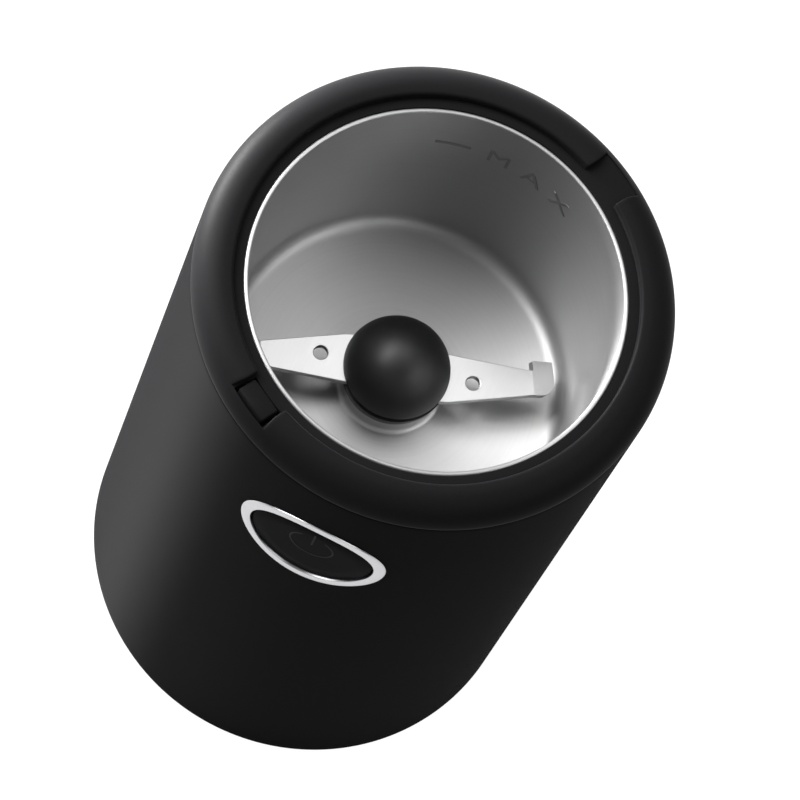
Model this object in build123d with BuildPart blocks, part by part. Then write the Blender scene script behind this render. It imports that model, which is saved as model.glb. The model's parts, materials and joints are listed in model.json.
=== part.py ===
from build123d import *
import math
import os

os.makedirs("parts", exist_ok=True)

# Fits: how closely pieces sit together
running_gap = 0.06
seat_gap = 0.05
slide_gap = 0.3
house_gap = 0.3
screw_gap = 0.2

# Grinding bowl: drawn steel with a curled lip and a raised floor around the shaft
bowl_mouth_radius = 33.25
bowl_taper = 0.83
bowl_depth = 49.9
bowl_wall = 0.5
bowl_fillet = 3.0
bowl_gap = 0.35
lip_width = 0.88
lip_drop = 0.1
boss_radius = 8.9
boss_height = 2.8
boss_draft = 0.6
seal_hole_radius = 6.5
stud_radius = 1.5
stud_inset = 3.92
stud_length = 9.5
nut_radius = 3.0
nut_height = 2.4
stud_angles = (90, 210, 330)

# Top collar: lid ledge, low inner wall, flat crest and a round shoulder down to the seam
ledge_width = 1.87
lid_seat_depth = 1.6
inner_round = 0.6
crest_width = 1.6
shoulder_width = 5.4
collar_rise = 4.8
collar_brim = 0.25
collar_web = 3.5
collar_ring_wall = 1.2
collar_ring_depth = 3.8
notch_angle = 60
notch_depth = 5.0
notch_width = 8.3
notch_corner = 0.6

# Body shell: a drafted tube
body_wall = 2.2
body_draft_width = 0.65
base_edge = 0.4
seam_bevel = 0.25
clamp_rib_width = 1.2
clamp_rib_height = 1.8

# Base: recessed cover, rubber feet, screw wells and air slots
foot_height = 2.0
foot_radius = 5.0
foot_sink = 1.2
foot_place_radius = 30.0
foot_bevel = 0.6
foot_count = 4
foot_angle = 45
base_recess = 0.6
base_plate = 2.4
base_rim_rise = 4.0
base_rim_wall = 1.6
well_radius = 3.9
well_floor = 2.8
slot_count = 16
slot_inner = 12.0
slot_outer = 23.0
slot_width = 2.4

# Motor stack, counted upwards from the base
fan_floor_gap = 6.0
fan_height = 8.0
fan_side_gap = 20.8
fan_hub_radius = 5.5
fan_plate = 1.2
fan_vane = 1.2
fan_vane_count = 9
fan_gap = 2.5
bearing_boss_depth = 6.0
lower_plate = 4.0
lower_bush_length = 8.0
air_hole_place_radius = 15.5
air_hole_radius = 4.0
air_hole_count = 4
air_hole_angle = 45
bracket_margin = 0.6
lower_post = 24.0
stack_length = 24.0
upper_leg = 10.2
upper_plate = 3.5
upper_boss_rise = 4.0
damper_radius = 5.0
damper_place_radius = 16.0
damper_count = 3
damper_angle = -15
deck_thickness = 5.0
gasket_thickness = 1.5
gasket_width = 5.5
gasket_clear = 1.0

# Motor parts
shaft_radius = 3.0
shaft_tail = 1.5
shaft_grip = 5.0
bush_radius = 5.5
boss_wall = 2.5
washer_radius = 5.2
washer_thickness = 0.8
washer_gap = 0.1
stator_width = 54.0
stator_depth = 46.0
stator_corner = 10.0
air_gap = 0.5
armature_radius = 14.5
shoe_thickness = 3.0
pole_half_width = 8.8
pole_gap = 13.0
side_yoke = 4.0
end_yoke = 5.2
bolt_inset = 2.6
bolt_radius = 1.5
bolt_pad_radius = 3.6
bolt_head_radius = 2.8
bolt_head_height = 2.2
coil_fit = 0.4
coil_build = 7.0
coil_clear = 1.6
coil_inset = 1.5
slot_total = 12
slot_place_radius = 10.8
slot_round = 2.1
slot_mouth = 1.6
wire_fit = 0.25
end_turn_height = 6.8
end_turn_inner = 5.6
end_turn_outer = 12.8
end_turn_round = 2.2
end_turn_bevel = 1.1
commutator_radius = 9.5
commutator_gap = 1.2
commutator_bars = 24
bar_slit = 0.5
bar_slit_depth = 1.2
riser_radius = 11.0
riser_height = 2.0
brush_width = 5.0
brush_height = 6.0
brush_length = 11.0
brush_fit = 0.1
brush_face_gap = 0.3
holder_wall = 1.0
holder_end = 0.8
holder_clear = 2.0
brush_spring_radius = 2.0
brush_spring_wire = 0.25
brush_spring_length = 6.7
brush_spring_turns = 6

# Bowl carrier: the cup and deck that hold bowl, collar, motor and base together
cup_wall = 1.8
deck_hole_clear = 1.0
tower_radius = 3.0
tower_gap = 0.8
tower_angle = 14
tower_pilot = 14.0
lug_radius = 2.2
lug_gap = 0.4
lug_height = 9.5
screw_radius = 1.25
screw_head_radius = 2.1
screw_head_height = 1.8
collar_screw_bite = 2.8
motor_head_radius = 3.0
motor_head_height = 2.2

# Cross recess in every screw head, in shares of the head
cross_length = 1.1
cross_width = 0.28
cross_depth = 0.5

# Shaft seal and blade
seal_flange = 1.5
seal_flange_thickness = 1.5
seal_cap_radius = 7.2
seal_cap_thickness = 0.2
blade_height = 8.0
blade_thickness = 1.4
blade_angle = 15.75
blade_straight = 4.6
blade_taper_start = 9.4
blade_taper_width = 4.85
bend_near_gap = 8.32
bend_near_width = 4.7
bend_far_gap = 7.0
bend_overlap = 0.4
tip_bend = 22
tip_length = 5.4
tip_ear = 1.9
tip_ear_start = 1.0
tip_round = 3.4
blade_hole_radius = 1.35
blade_hole_place = 14.25
ball_radius = 10.0
ball_drop = 1.1
hub_gap = 0.4

# Power button and its chrome bezel on the front
button_drop = 27.5
bezel_half_width = 14.1
bezel_half_height = 13.25
bezel_ring = 2.1
bezel_tube = 0.6
bezel_proud = 0.3
cap_recess = 0.05
cap_flange = 1.2
cap_flange_thickness = 1.1
cap_flange_gap = 0.4
button_travel = 1.5
leg_half_width = 4.0
leg_thickness = 1.8
leg_gap = 0.7
spring_pocket_radius = 4.6
spring_pocket_floor = 1.4
spring_pad_radius = 5.4
spring_pad_proud = 0.4
button_spring_radius = 3.6
button_spring_wire = 0.3
button_spring_turns = 3.5

# Microswitches
switch_length = 19.8
switch_width = 6.4
switch_depth = 10.2
switch_clear = 0.4
switch_hole_spacing = 9.5
switch_hole_depth = 7.3
switch_hole_radius = 1.1
switch_screw_radius = 0.9
switch_screw_head = 1.7
switch_screw_head_height = 1.0
switch_screw_grip = 3.0
plunger_radius = 1.2
plunger_bore_depth = 5.0
plunger_stub = 2.2
plunger_reach = 0.3
terminal_length = 4.0
terminal_width = 2.8
terminal_thickness = 0.5
terminal_spacing = 8.0

# Lid interlock: a sprung block in one notch, with a rod down to its switch
interlock_travel = 2.0
block_thickness = 3.6
block_width = 7.0
block_proud = 0.7
block_slit = 0.6
block_bevel = 0.5
rod_radius = 1.2
rod_flange_radius = 2.1
rod_flange_thickness = 1.2
guide_radius = 2.2
guide_height = 3.0
interlock_spring_radius = 1.85
interlock_spring_wire = 0.25
interlock_spring_length = 9.3
interlock_spring_turns = 6
foot_plate_thickness = 2.0
foot_plate_half_width = 2.0
tab_thickness = 1.8
tab_half_width = 9.0
tab_neck_inner = 2.0
tab_neck_outer = 8.0
tab_drop = 1.0
tab_clear = 0.5

# Supply side: cord gland, terminal block and suppression capacitor
gland_height = 20.0
gland_bore = 3.1
gland_sleeve = 5.4
gland_flange = 7.2
gland_flange_thickness = 1.8
gland_inner_reach = 5.4
gland_set_in = 0.4
terminal_size = (16.0, 11.0, 11.0)
terminal_side = 13.0
terminal_screw_radius = 2.0
terminal_screw_spacing = 8.0
capacitor_size = (17.0, 8.0, 14.0)
capacitor_side = -14.0
supply_clear = 1.46
capacitor_round = 1.0
cutout_size = (5.6, 12.0, 3.8)

# Heights, from the floor upwards
body_low = foot_height
base_low = body_low + base_recess
base_top = base_low + base_plate
base_rim_top = base_top + base_rim_rise
clamp_rib_top = base_rim_top + clamp_rib_height
fan_low = base_top + fan_floor_gap
fan_top = fan_low + fan_height
lower_boss_low = fan_top + fan_gap
lower_plate_low = lower_boss_low + bearing_boss_depth
lower_plate_top = lower_plate_low + lower_plate
lower_bush_top = lower_boss_low + lower_bush_length
stack_low = lower_plate_low + lower_post
stack_top = stack_low + stack_length
stack_mid = (stack_low + stack_top) / 2
upper_plate_low = stack_top + upper_leg
upper_plate_top = upper_plate_low + upper_plate
upper_boss_top = upper_plate_top + upper_boss_rise
damper_height = switch_width + switch_screw_head_height + switch_clear
deck_low = upper_plate_top + damper_height
deck_top = deck_low + deck_thickness
bowl_under = deck_top + gasket_thickness
bowl_floor = bowl_under + bowl_wall
boss_top = bowl_floor + boss_height
blade_top = bowl_floor + blade_height
blade_low = blade_top - blade_thickness
ball_middle = blade_top - ball_drop
shaft_high = blade_top + shaft_grip
hub_low = boss_top + hub_gap
lip_top = bowl_floor + bowl_depth
lip_middle = lip_top - lip_width / 2
ledge_height = lip_top + lip_drop
crest_height = ledge_height + lid_seat_depth
seam_height = crest_height - collar_rise
collar_under = ledge_height - collar_web
body_height = seam_height - body_low
button_middle = seam_height - button_drop

# Radii, from the bowl outwards
bowl_outside = bowl_mouth_radius + bowl_wall
bowl_foot_radius = bowl_mouth_radius - bowl_taper
bend_near = (bowl_foot_radius - bend_near_gap, bend_near_width)
bend_far = (bowl_foot_radius - bend_far_gap, 0.0)
stud_circle = bowl_foot_radius - stud_inset
gasket_outer = stud_circle - stud_radius - gasket_clear
gasket_inner = gasket_outer - gasket_width
lip_radius = bowl_mouth_radius + lip_width
cup_inner = bowl_outside + bowl_gap
cup_outer = cup_inner + cup_wall
lid_seat_radius = lip_radius + ledge_width
crest_radius = lid_seat_radius + crest_width
body_top_radius = crest_radius + shoulder_width
body_bottom_radius = body_top_radius + body_draft_width
inner_radius = body_top_radius - body_wall
fan_radius = inner_radius - fan_side_gap
tower_circle = inner_radius - tower_radius - tower_gap
lug_circle = inner_radius - lug_radius - lug_gap
rod_circle = (cup_outer + inner_radius) / 2
interlock_angle = notch_angle + 180
block_outer = lid_seat_radius + notch_depth - block_slit
block_inner = block_outer - block_thickness
bolt_place = stator_depth / 2 - bolt_inset
stator_bore = armature_radius + air_gap
bearing_boss_radius = bush_radius + boss_wall
brush_inner = commutator_radius + brush_face_gap
brush_outer = brush_inner + brush_length
holder_inner = commutator_radius + holder_clear
holder_outer = brush_outer + brush_spring_length + holder_end

FROM_BASE = (Align.CENTER, Align.CENTER, Align.MIN)
tower_angles = (tower_angle, 180 - tower_angle, 180 + tower_angle, 360 - tower_angle)


def body_radius(height):
    """Outer radius of the drafted body at a height."""
    return body_bottom_radius - body_draft_width * (height - body_low) / body_height


def polar(radius, angle, height=0.0):
    """Point at a radius and an angle in degrees round the upright axis."""
    turn = math.radians(angle)
    return (radius * math.cos(turn), radius * math.sin(turn), height)


def upright_plane(radius, angle, height, up=1):
    """Plane at a polar place, X outwards, facing up or down."""
    return Plane(origin=polar(radius, angle, height), x_dir=polar(1, angle), z_dir=(0, 0, up))


def web_span(reach):
    """Middle and length of a radial web from inside the cup's wall out to a radius."""
    root = cup_outer - cup_wall / 2
    return (root + reach) / 2, reach - root


def turned(*points):
    """Closed half section of a turned piece, given as (radius, height) corners."""
    with BuildSketch(Plane.XZ) as section:
        with BuildLine():
            Polyline(*points, close=True)
        make_face()
    return section.sketch.faces()


def cup_section(foot_radius, mouth_radius, low, high, corner):
    """Half section of a cup-shaped volume with a rounded foot."""
    with BuildSketch(Plane.XZ) as section:
        with BuildLine():
            Polyline((0, low), (foot_radius, low), (mouth_radius, high), (0, high), close=True)
        make_face()
        foot = section.vertices().group_by(Axis.Y)[0].sort_by(Axis.X)[-1]
        fillet(foot, radius=corner)
    return section.sketch.faces()


def body_core(depth):
    """Half section of the body's inside, a depth under its outer surface, around the button."""
    low = button_middle - 2 * bezel_half_height
    high = button_middle + 2 * bezel_half_height
    return turned(
        (0, low), (body_radius(low) - depth, low), (body_radius(high) - depth, high), (0, high)
    )


def skin_piece(half_width, half_height, outer_depth, inner_depth):
    """Oval patch of the body's skin at the button, between two depths under the surface."""
    with BuildPart() as patch:
        with BuildSketch(Plane.XZ):
            with Locations((0, button_middle)):
                Ellipse(half_width, half_height)
        extrude(amount=2 * body_bottom_radius)
        revolve(body_core(outer_depth), axis=Axis.Z, mode=Mode.INTERSECT)
        revolve(body_core(inner_depth), axis=Axis.Z, mode=Mode.SUBTRACT)
    return patch.part


def screw_set(places, head_radius, head_height, shank_radius, shank_length):
    """Cross-head screws, one per plane: heads under the plane, shanks along its normal."""
    recess = head_radius * cross_length
    slot = head_radius * cross_width
    depth = head_height * cross_depth
    with BuildPart(*places) as screws:
        Cylinder(shank_radius, shank_length, align=FROM_BASE)
        with Locations((0, 0, -head_height)):
            Cylinder(head_radius, head_height, align=FROM_BASE)
            Box(recess, slot, depth, align=FROM_BASE, mode=Mode.SUBTRACT)
            Box(slot, recess, depth, align=FROM_BASE, mode=Mode.SUBTRACT)
    return screws.part


def coil_spring(seat, direction, mean_radius, wire_radius, length, turns):
    """One wire wound from a seat point along a direction, filling the given length."""
    rise = length - 2 * wire_radius
    axis = Vector(direction).normalized()
    start = Vector(seat) + axis * wire_radius
    with BuildPart() as spring:
        with BuildLine() as path:
            Helix(rise / turns, rise, mean_radius, center=start, direction=axis)
        with BuildSketch(Plane(origin=path.line @ 0, z_dir=path.line % 0)):
            Circle(wire_radius)
        sweep(is_frenet=True)
    return spring.part


def microswitch(face):
    """Switch body whose plunger face lies on the given plane and looks along its normal."""
    with BuildPart(face) as body:
        with Locations((0, 0, -switch_depth)):
            Box(switch_length, switch_width, switch_depth, align=FROM_BASE)
        with Locations((0, 0, -plunger_bore_depth)):
            bore = plunger_radius + running_gap
            Cylinder(bore, plunger_bore_depth, align=FROM_BASE, mode=Mode.SUBTRACT)
        with Locations((0, 0, -switch_hole_depth)):
            with GridLocations(switch_hole_spacing, 1, 2, 1):
                Cylinder(switch_hole_radius, switch_width, rotation=(90, 0, 0), mode=Mode.SUBTRACT)
        with Locations((0, 0, -switch_depth - terminal_length)):
            with GridLocations(terminal_spacing, 1, 3, 1):
                Box(terminal_thickness, terminal_width, terminal_length, align=FROM_BASE)
    return body.part


def switch_plunger(face, travel):
    """Plunger of a microswitch at rest: a stub in the bore and a tip proud by the travel."""
    with BuildPart(face) as pin:
        with Locations((0, 0, -plunger_stub)):
            Cylinder(plunger_radius, plunger_stub + travel + plunger_reach, align=FROM_BASE)
    return pin.part


# Outer housing: the tall black body, open at both ends
with BuildPart() as outer_housing:
    rib_inner = body_radius(base_rim_top) - body_wall - clamp_rib_width
    revolve(
        turned(
            (body_bottom_radius - body_wall, body_low),
            (body_bottom_radius - base_edge, body_low),
            (body_radius(body_low + base_edge), body_low + base_edge),
            (body_radius(seam_height - seam_bevel), seam_height - seam_bevel),
            (body_top_radius - seam_bevel, seam_height),
            (inner_radius, seam_height),
            (body_radius(clamp_rib_top) - body_wall, clamp_rib_top),
            (rib_inner, clamp_rib_top),
            (rib_inner, base_rim_top),
            (body_radius(base_rim_top) - body_wall, base_rim_top),
        ),
        axis=Axis.Z,
    )
    with BuildSketch(Plane.XZ):
        with Locations((0, button_middle)):
            tube_inset = bezel_ring - bezel_tube - seat_gap
            Ellipse(bezel_half_width - tube_inset, bezel_half_height - tube_inset)
    extrude(amount=2 * body_bottom_radius, mode=Mode.SUBTRACT)
    with BuildSketch(Plane.XZ):
        with Locations((0, gland_height)):
            Circle(gland_sleeve + seat_gap)
    extrude(amount=-2 * body_bottom_radius, mode=Mode.SUBTRACT)
outer_housing.part.label = "outer_housing"
export_step(outer_housing.part, "parts/outer_housing.step")

# Top collar: round shoulder, lid ledge and two notches for the lid's tabs
with BuildPart() as top_collar:
    lip_seat = lip_top - lip_width
    ring_outer = inner_radius - house_gap
    ring_inner = ring_outer - collar_ring_wall
    with BuildSketch(Plane.XZ):
        with BuildLine():
            Polyline(
                (lid_seat_radius, crest_height - inner_round),
                (lid_seat_radius, ledge_height),
                (lip_radius + seat_gap, ledge_height),
                (lip_radius + seat_gap, lip_seat),
                (bowl_outside + seat_gap, lip_seat),
                (bowl_outside + seat_gap, collar_under),
                (ring_inner, collar_under),
                (ring_inner, seam_height - collar_ring_depth),
                (ring_outer, seam_height - collar_ring_depth),
                (ring_outer, seam_height),
                (body_top_radius - seam_bevel, seam_height),
                (body_top_radius, seam_height + seam_bevel),
            )
            Line(
                (body_top_radius, seam_height + seam_bevel),
                (body_top_radius, seam_height + seam_bevel + collar_brim),
            )
            TangentArc(
                (crest_radius, crest_height),
                (body_top_radius, seam_height + seam_bevel + collar_brim),
                tangent=(1, 0),
            )
            Line((lid_seat_radius + inner_round, crest_height), (crest_radius, crest_height))
            TangentArc(
                (lid_seat_radius + inner_round, crest_height),
                (lid_seat_radius, crest_height - inner_round),
                tangent=(-1, 0),
            )
        make_face()
    revolve(axis=Axis.Z)
    notch_length = notch_depth + ledge_width / 2
    notch_middle = lid_seat_radius + notch_depth - notch_length / 2
    with BuildSketch(Plane.XY.offset(ledge_height)):
        with PolarLocations(notch_middle, 2, start_angle=notch_angle):
            RectangleRounded(notch_length, notch_width, notch_corner)
    extrude(amount=collar_rise, mode=Mode.SUBTRACT)
    slot_length = block_thickness + block_slit + slide_gap
    with BuildSketch(upright_plane(0, interlock_angle, seam_height - collar_ring_depth)):
        with Locations((block_outer + block_slit - slot_length / 2, 0)):
            Rectangle(slot_length, block_width + 2 * slide_gap)
    extrude(amount=collar_rise + collar_ring_depth, mode=Mode.SUBTRACT)
    with BuildSketch(Plane.XY.offset(seam_height - collar_ring_depth)):
        with PolarLocations(lug_circle, len(stud_angles), start_angle=stud_angles[0]):
            Circle(lug_radius + slide_gap)
    extrude(amount=collar_under - seam_height + collar_ring_depth, mode=Mode.SUBTRACT)
    with BuildSketch(Plane.XY.offset(collar_under)):
        with PolarLocations(lug_circle, len(stud_angles), start_angle=stud_angles[0]):
            Circle(screw_radius + seat_gap)
    extrude(amount=collar_web, mode=Mode.SUBTRACT)
top_collar.part.label = "top_collar"
export_step(top_collar.part, "parts/top_collar.step")

# Grinding bowl: thin drawn cup, curled lip, raised middle and welded studs
with BuildPart() as grinding_bowl:
    outside = cup_section(
        bowl_foot_radius + bowl_wall, bowl_outside, bowl_under, lip_middle, bowl_fillet + bowl_wall
    )
    revolve(outside, axis=Axis.Z)
    inside = cup_section(bowl_foot_radius, bowl_mouth_radius, bowl_floor, lip_middle, bowl_fillet)
    revolve(inside, axis=Axis.Z, mode=Mode.SUBTRACT)
    with BuildSketch(Plane.XZ):
        with Locations((bowl_mouth_radius + lip_width / 2, lip_middle)):
            Circle(lip_width / 2)
    revolve(axis=Axis.Z)
    boss_foot = boss_radius + boss_draft
    with Locations((0, 0, bowl_under)):
        Cylinder(boss_foot - bowl_wall, bowl_wall, align=FROM_BASE, mode=Mode.SUBTRACT)
    revolve(
        turned(
            (boss_foot, bowl_floor),
            (boss_radius, boss_top),
            (seal_hole_radius, boss_top),
            (seal_hole_radius, boss_top - bowl_wall),
            (boss_radius - bowl_wall, boss_top - bowl_wall),
            (boss_foot - bowl_wall, bowl_under),
            (boss_foot, bowl_under),
        ),
        axis=Axis.Z,
    )
    with BuildSketch(Plane.XY.offset(bowl_under)):
        with PolarLocations(stud_circle, len(stud_angles), start_angle=stud_angles[0]):
            Circle(stud_radius)
    extrude(amount=-stud_length)
grinding_bowl.part.label = "grinding_bowl"
export_step(grinding_bowl.part, "parts/grinding_bowl.step")

# Bowl gasket between the bowl's floor and the carrier's deck
with BuildPart() as bowl_gasket:
    with BuildSketch(Plane.XY.offset(deck_top)):
        Circle(gasket_outer)
        Circle(gasket_inner, mode=Mode.SUBTRACT)
    extrude(amount=gasket_thickness)
bowl_gasket.part.label = "bowl_gasket"
export_step(bowl_gasket.part, "parts/bowl_gasket.step")

# Shaft seal: a rubber grommet in the raised middle of the bowl
with BuildPart() as shaft_seal:
    seal_bore = shaft_radius + running_gap
    seal_under = boss_top - bowl_wall
    revolve(
        turned(
            (seal_bore, seal_under - seal_flange_thickness),
            (seal_hole_radius + seal_flange, seal_under - seal_flange_thickness),
            (seal_hole_radius + seal_flange, seal_under),
            (seal_hole_radius - seat_gap, seal_under),
            (seal_hole_radius - seat_gap, boss_top),
            (seal_cap_radius, boss_top),
            (seal_cap_radius, boss_top + seal_cap_thickness),
            (seal_bore, boss_top + seal_cap_thickness),
        ),
        axis=Axis.Z,
    )
shaft_seal.part.label = "shaft_seal"
export_step(shaft_seal.part, "parts/shaft_seal.step")

# Bowl nuts on the studs under the deck
with BuildPart() as bowl_nuts:
    with BuildSketch(Plane.XY.offset(deck_low - nut_height)):
        with PolarLocations(stud_circle, len(stud_angles), start_angle=stud_angles[0]):
            RegularPolygon(nut_radius, 6)
            Circle(stud_radius + seat_gap, mode=Mode.SUBTRACT)
    extrude(amount=nut_height)
bowl_nuts.part.label = "bowl_nuts"
export_step(bowl_nuts.part, "parts/bowl_nuts.step")

# Places that the carrier shares with the switches it holds
leg_outer = inner_radius - leg_gap
leg_inner = leg_outer - leg_thickness
start_switch_front = leg_inner - button_travel - plunger_reach
start_switch_height = deck_low - switch_width / 2
start_switch_face = Plane(
    origin=(0, -start_switch_front, start_switch_height), x_dir=(1, 0, 0), z_dir=(0, -1, 0)
)
tab_low = stack_top + tab_clear
interlock_switch_top = tab_low + terminal_length + switch_depth
interlock_switch_circle = inner_radius - switch_width / 2 - leg_thickness + slide_gap
interlock_switch_face = Plane(
    origin=polar(interlock_switch_circle, interlock_angle, interlock_switch_top),
    x_dir=polar(1, interlock_angle + 90),
    z_dir=(0, 0, 1),
)
tab_outer = interlock_switch_circle - switch_width / 2
tab_middle = tab_outer - tab_thickness / 2
rod_flange_low = collar_under - rod_flange_thickness - slide_gap - block_bevel
guide_top = rod_flange_low - interlock_spring_length
start_screw_depth = start_switch_front - switch_hole_depth
start_screw_places = [
    Plane(origin=(side * switch_hole_spacing / 2, -start_screw_depth, deck_low - switch_width))
    for side in (-1, 1)
]
interlock_screw_places = [
    Plane(
        origin=interlock_switch_face.from_local_coords(
            (side * switch_hole_spacing / 2, -switch_width / 2, -switch_hole_depth)
        ),
        z_dir=interlock_switch_face.y_dir,
    )
    for side in (-1, 1)
]

# Bowl carrier: cup round the bowl, deck over the motor, towers down to the base
with BuildPart() as bowl_carrier:
    revolve(
        turned(
            (bearing_boss_radius + deck_hole_clear, deck_low),
            (cup_outer, deck_low),
            (cup_outer, collar_under),
            (cup_inner, collar_under),
            (cup_inner, deck_top),
            (bearing_boss_radius + deck_hole_clear, deck_top),
        ),
        axis=Axis.Z,
    )
    with BuildSketch(Plane.XY.offset(base_rim_top)):
        for angle in tower_angles:
            with Locations(polar(tower_circle, angle)):
                Circle(tower_radius)
    extrude(amount=deck_top - base_rim_top)
    with BuildSketch(Plane.XY.offset(collar_under - lug_height)):
        with PolarLocations(lug_circle, len(stud_angles), start_angle=stud_angles[0]):
            Circle(lug_radius)
        web_middle, web_length = web_span(lug_circle)
        with PolarLocations(web_middle, len(stud_angles), start_angle=stud_angles[0]):
            Rectangle(web_length, 2 * lug_radius)
    extrude(amount=lug_height)
    with BuildSketch(upright_plane(0, interlock_angle, guide_top - guide_height)):
        with Locations((rod_circle, 0)):
            Circle(guide_radius)
        web_middle, web_length = web_span(rod_circle)
        with Locations((web_middle, 0)):
            Rectangle(web_length, 2 * guide_radius)
    extrude(amount=guide_height)
    with BuildSketch(upright_plane(0, interlock_angle, tab_low)):
        with Locations((tab_middle, 0)):
            Rectangle(tab_thickness, 2 * tab_half_width)
    extrude(amount=interlock_switch_top - tab_drop - tab_low)
    with BuildSketch(upright_plane(0, interlock_angle, tab_low)):
        with Locations((tab_middle, (tab_neck_inner - tab_neck_outer) / 2)):
            Rectangle(tab_thickness, tab_neck_inner + tab_neck_outer)
    extrude(amount=deck_top - tab_low)
    with BuildSketch(Plane.XZ.offset(cup_outer - cup_wall / 2)):
        with Locations((0, button_middle)):
            Circle(spring_pad_radius)
    extrude(amount=cup_wall / 2 + spring_pad_proud)
    with BuildSketch(Plane.XY.offset(deck_low)):
        with PolarLocations(damper_place_radius, damper_count, damper_angle):
            Circle(bolt_radius + screw_gap)
        with PolarLocations(stud_circle, len(stud_angles), start_angle=stud_angles[0]):
            Circle(stud_radius + screw_gap)
    extrude(amount=deck_thickness, mode=Mode.SUBTRACT)
    with BuildSketch(Plane.XY.offset(deck_top)):
        with PolarLocations(damper_place_radius, damper_count, damper_angle):
            Circle(motor_head_radius + screw_gap)
    extrude(amount=-motor_head_height - screw_gap, mode=Mode.SUBTRACT)
    with BuildSketch(Plane.XY.offset(collar_under - lug_height)):
        with PolarLocations(lug_circle, len(stud_angles), start_angle=stud_angles[0]):
            Circle(screw_radius + screw_gap)
    extrude(amount=lug_height, mode=Mode.SUBTRACT)
    with BuildSketch(upright_plane(0, interlock_angle, guide_top - guide_height)):
        with Locations((rod_circle, 0)):
            Circle(rod_radius + slide_gap)
    extrude(amount=guide_height, mode=Mode.SUBTRACT)
    with BuildSketch(Plane.XY.offset(base_rim_top)):
        for angle in tower_angles:
            with Locations(polar(tower_circle, angle)):
                Circle(bolt_radius + seat_gap)
    extrude(amount=tower_pilot, mode=Mode.SUBTRACT)
    for place in start_screw_places + interlock_screw_places:
        with Locations(place):
            pilot = switch_width + switch_screw_grip
            Cylinder(switch_screw_radius + seat_gap, pilot, align=FROM_BASE, mode=Mode.SUBTRACT)
bowl_carrier.part.label = "bowl_carrier"
export_step(bowl_carrier.part, "parts/bowl_carrier.step")

# Collar screws, driven up through the carrier's lugs
with BuildPart() as collar_screws:
    lug_places = [upright_plane(lug_circle, a, collar_under - lug_height) for a in stud_angles]
    collar_screw_length = lug_height + collar_screw_bite
    add(screw_set(lug_places, screw_head_radius, screw_head_height, screw_radius, collar_screw_length))
collar_screws.part.label = "collar_screws"
export_step(collar_screws.part, "parts/collar_screws.step")

# Motor screws, down through the deck and the dampers into the upper bracket
with BuildPart() as motor_screws:
    head_seat = deck_top - motor_head_height - screw_gap
    damper_angles = [damper_angle + 360 / damper_count * turn for turn in range(damper_count)]
    damper_places = [upright_plane(damper_place_radius, a, head_seat, up=-1) for a in damper_angles]
    motor_screw_length = head_seat - upper_plate_low
    add(screw_set(damper_places, motor_head_radius, motor_head_height, bolt_radius, motor_screw_length))
motor_screws.part.label = "motor_screws"
export_step(motor_screws.part, "parts/motor_screws.step")

# Rubber dampers between the motor and the deck
with BuildPart() as motor_dampers:
    with BuildSketch(Plane.XY.offset(upper_plate_top)):
        with PolarLocations(damper_place_radius, damper_count, damper_angle):
            Circle(damper_radius)
            Circle(bolt_radius + screw_gap, mode=Mode.SUBTRACT)
    extrude(amount=damper_height)
motor_dampers.part.label = "motor_dampers"
export_step(motor_dampers.part, "parts/motor_dampers.step")

# Upper motor bracket with the bearing boss and two legs on the stator
with BuildPart() as upper_bracket:
    with BuildSketch(Plane.XY.offset(upper_plate_low)):
        Circle(damper_place_radius + damper_radius)
        Rectangle(2 * bolt_pad_radius, 2 * bolt_place)
        with GridLocations(1, 2 * bolt_place, 1, 2):
            Circle(bolt_pad_radius)
    extrude(amount=upper_plate)
    with BuildSketch(Plane.XY.offset(stack_top)):
        with GridLocations(1, 2 * bolt_place, 1, 2):
            Circle(bolt_pad_radius)
    extrude(amount=upper_leg)
    with BuildSketch(Plane.XY.offset(upper_plate_top)):
        Circle(bearing_boss_radius)
    extrude(amount=upper_boss_rise)
    with BuildSketch(Plane.XY.offset(upper_plate_low)):
        Circle(bush_radius + seat_gap)
        with PolarLocations(damper_place_radius, damper_count, damper_angle):
            Circle(bolt_radius + seat_gap)
    extrude(amount=upper_plate + upper_boss_rise, mode=Mode.SUBTRACT)
    with BuildSketch(Plane.XY.offset(stack_top)):
        with GridLocations(1, 2 * bolt_place, 1, 2):
            Circle(bolt_radius + seat_gap)
    extrude(amount=upper_leg + upper_plate, mode=Mode.SUBTRACT)
upper_bracket.part.label = "upper_bracket"
export_step(upper_bracket.part, "parts/upper_bracket.step")

# Lower motor bracket: brush deck, bearing boss and posts up to the stator
with BuildPart() as lower_bracket:
    with BuildSketch(Plane.XY.offset(lower_plate_low)):
        Circle(bolt_place + bolt_pad_radius + bracket_margin)
        Rectangle(2 * holder_outer, 2 * bolt_pad_radius + 2 * holder_wall)
        with PolarLocations(air_hole_place_radius, air_hole_count, start_angle=air_hole_angle):
            Circle(air_hole_radius, mode=Mode.SUBTRACT)
    extrude(amount=lower_plate)
    with BuildSketch(Plane.XY.offset(lower_plate_top)):
        with GridLocations(1, 2 * bolt_place, 1, 2):
            Circle(bolt_pad_radius)
    extrude(amount=stack_low - lower_plate_top)
    with BuildSketch(Plane.XY.offset(lower_boss_low)):
        Circle(bearing_boss_radius)
    extrude(amount=bearing_boss_depth)
    with BuildSketch(Plane.XY.offset(lower_boss_low)):
        Circle(bush_radius + seat_gap)
    extrude(amount=bearing_boss_depth + lower_plate, mode=Mode.SUBTRACT)
    with BuildSketch(Plane.XY.offset(lower_plate_low)):
        with GridLocations(1, 2 * bolt_place, 1, 2):
            Circle(bolt_radius + screw_gap)
    extrude(amount=lower_post, mode=Mode.SUBTRACT)
lower_bracket.part.label = "lower_bracket"
export_step(lower_bracket.part, "parts/lower_bracket.step")

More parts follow.
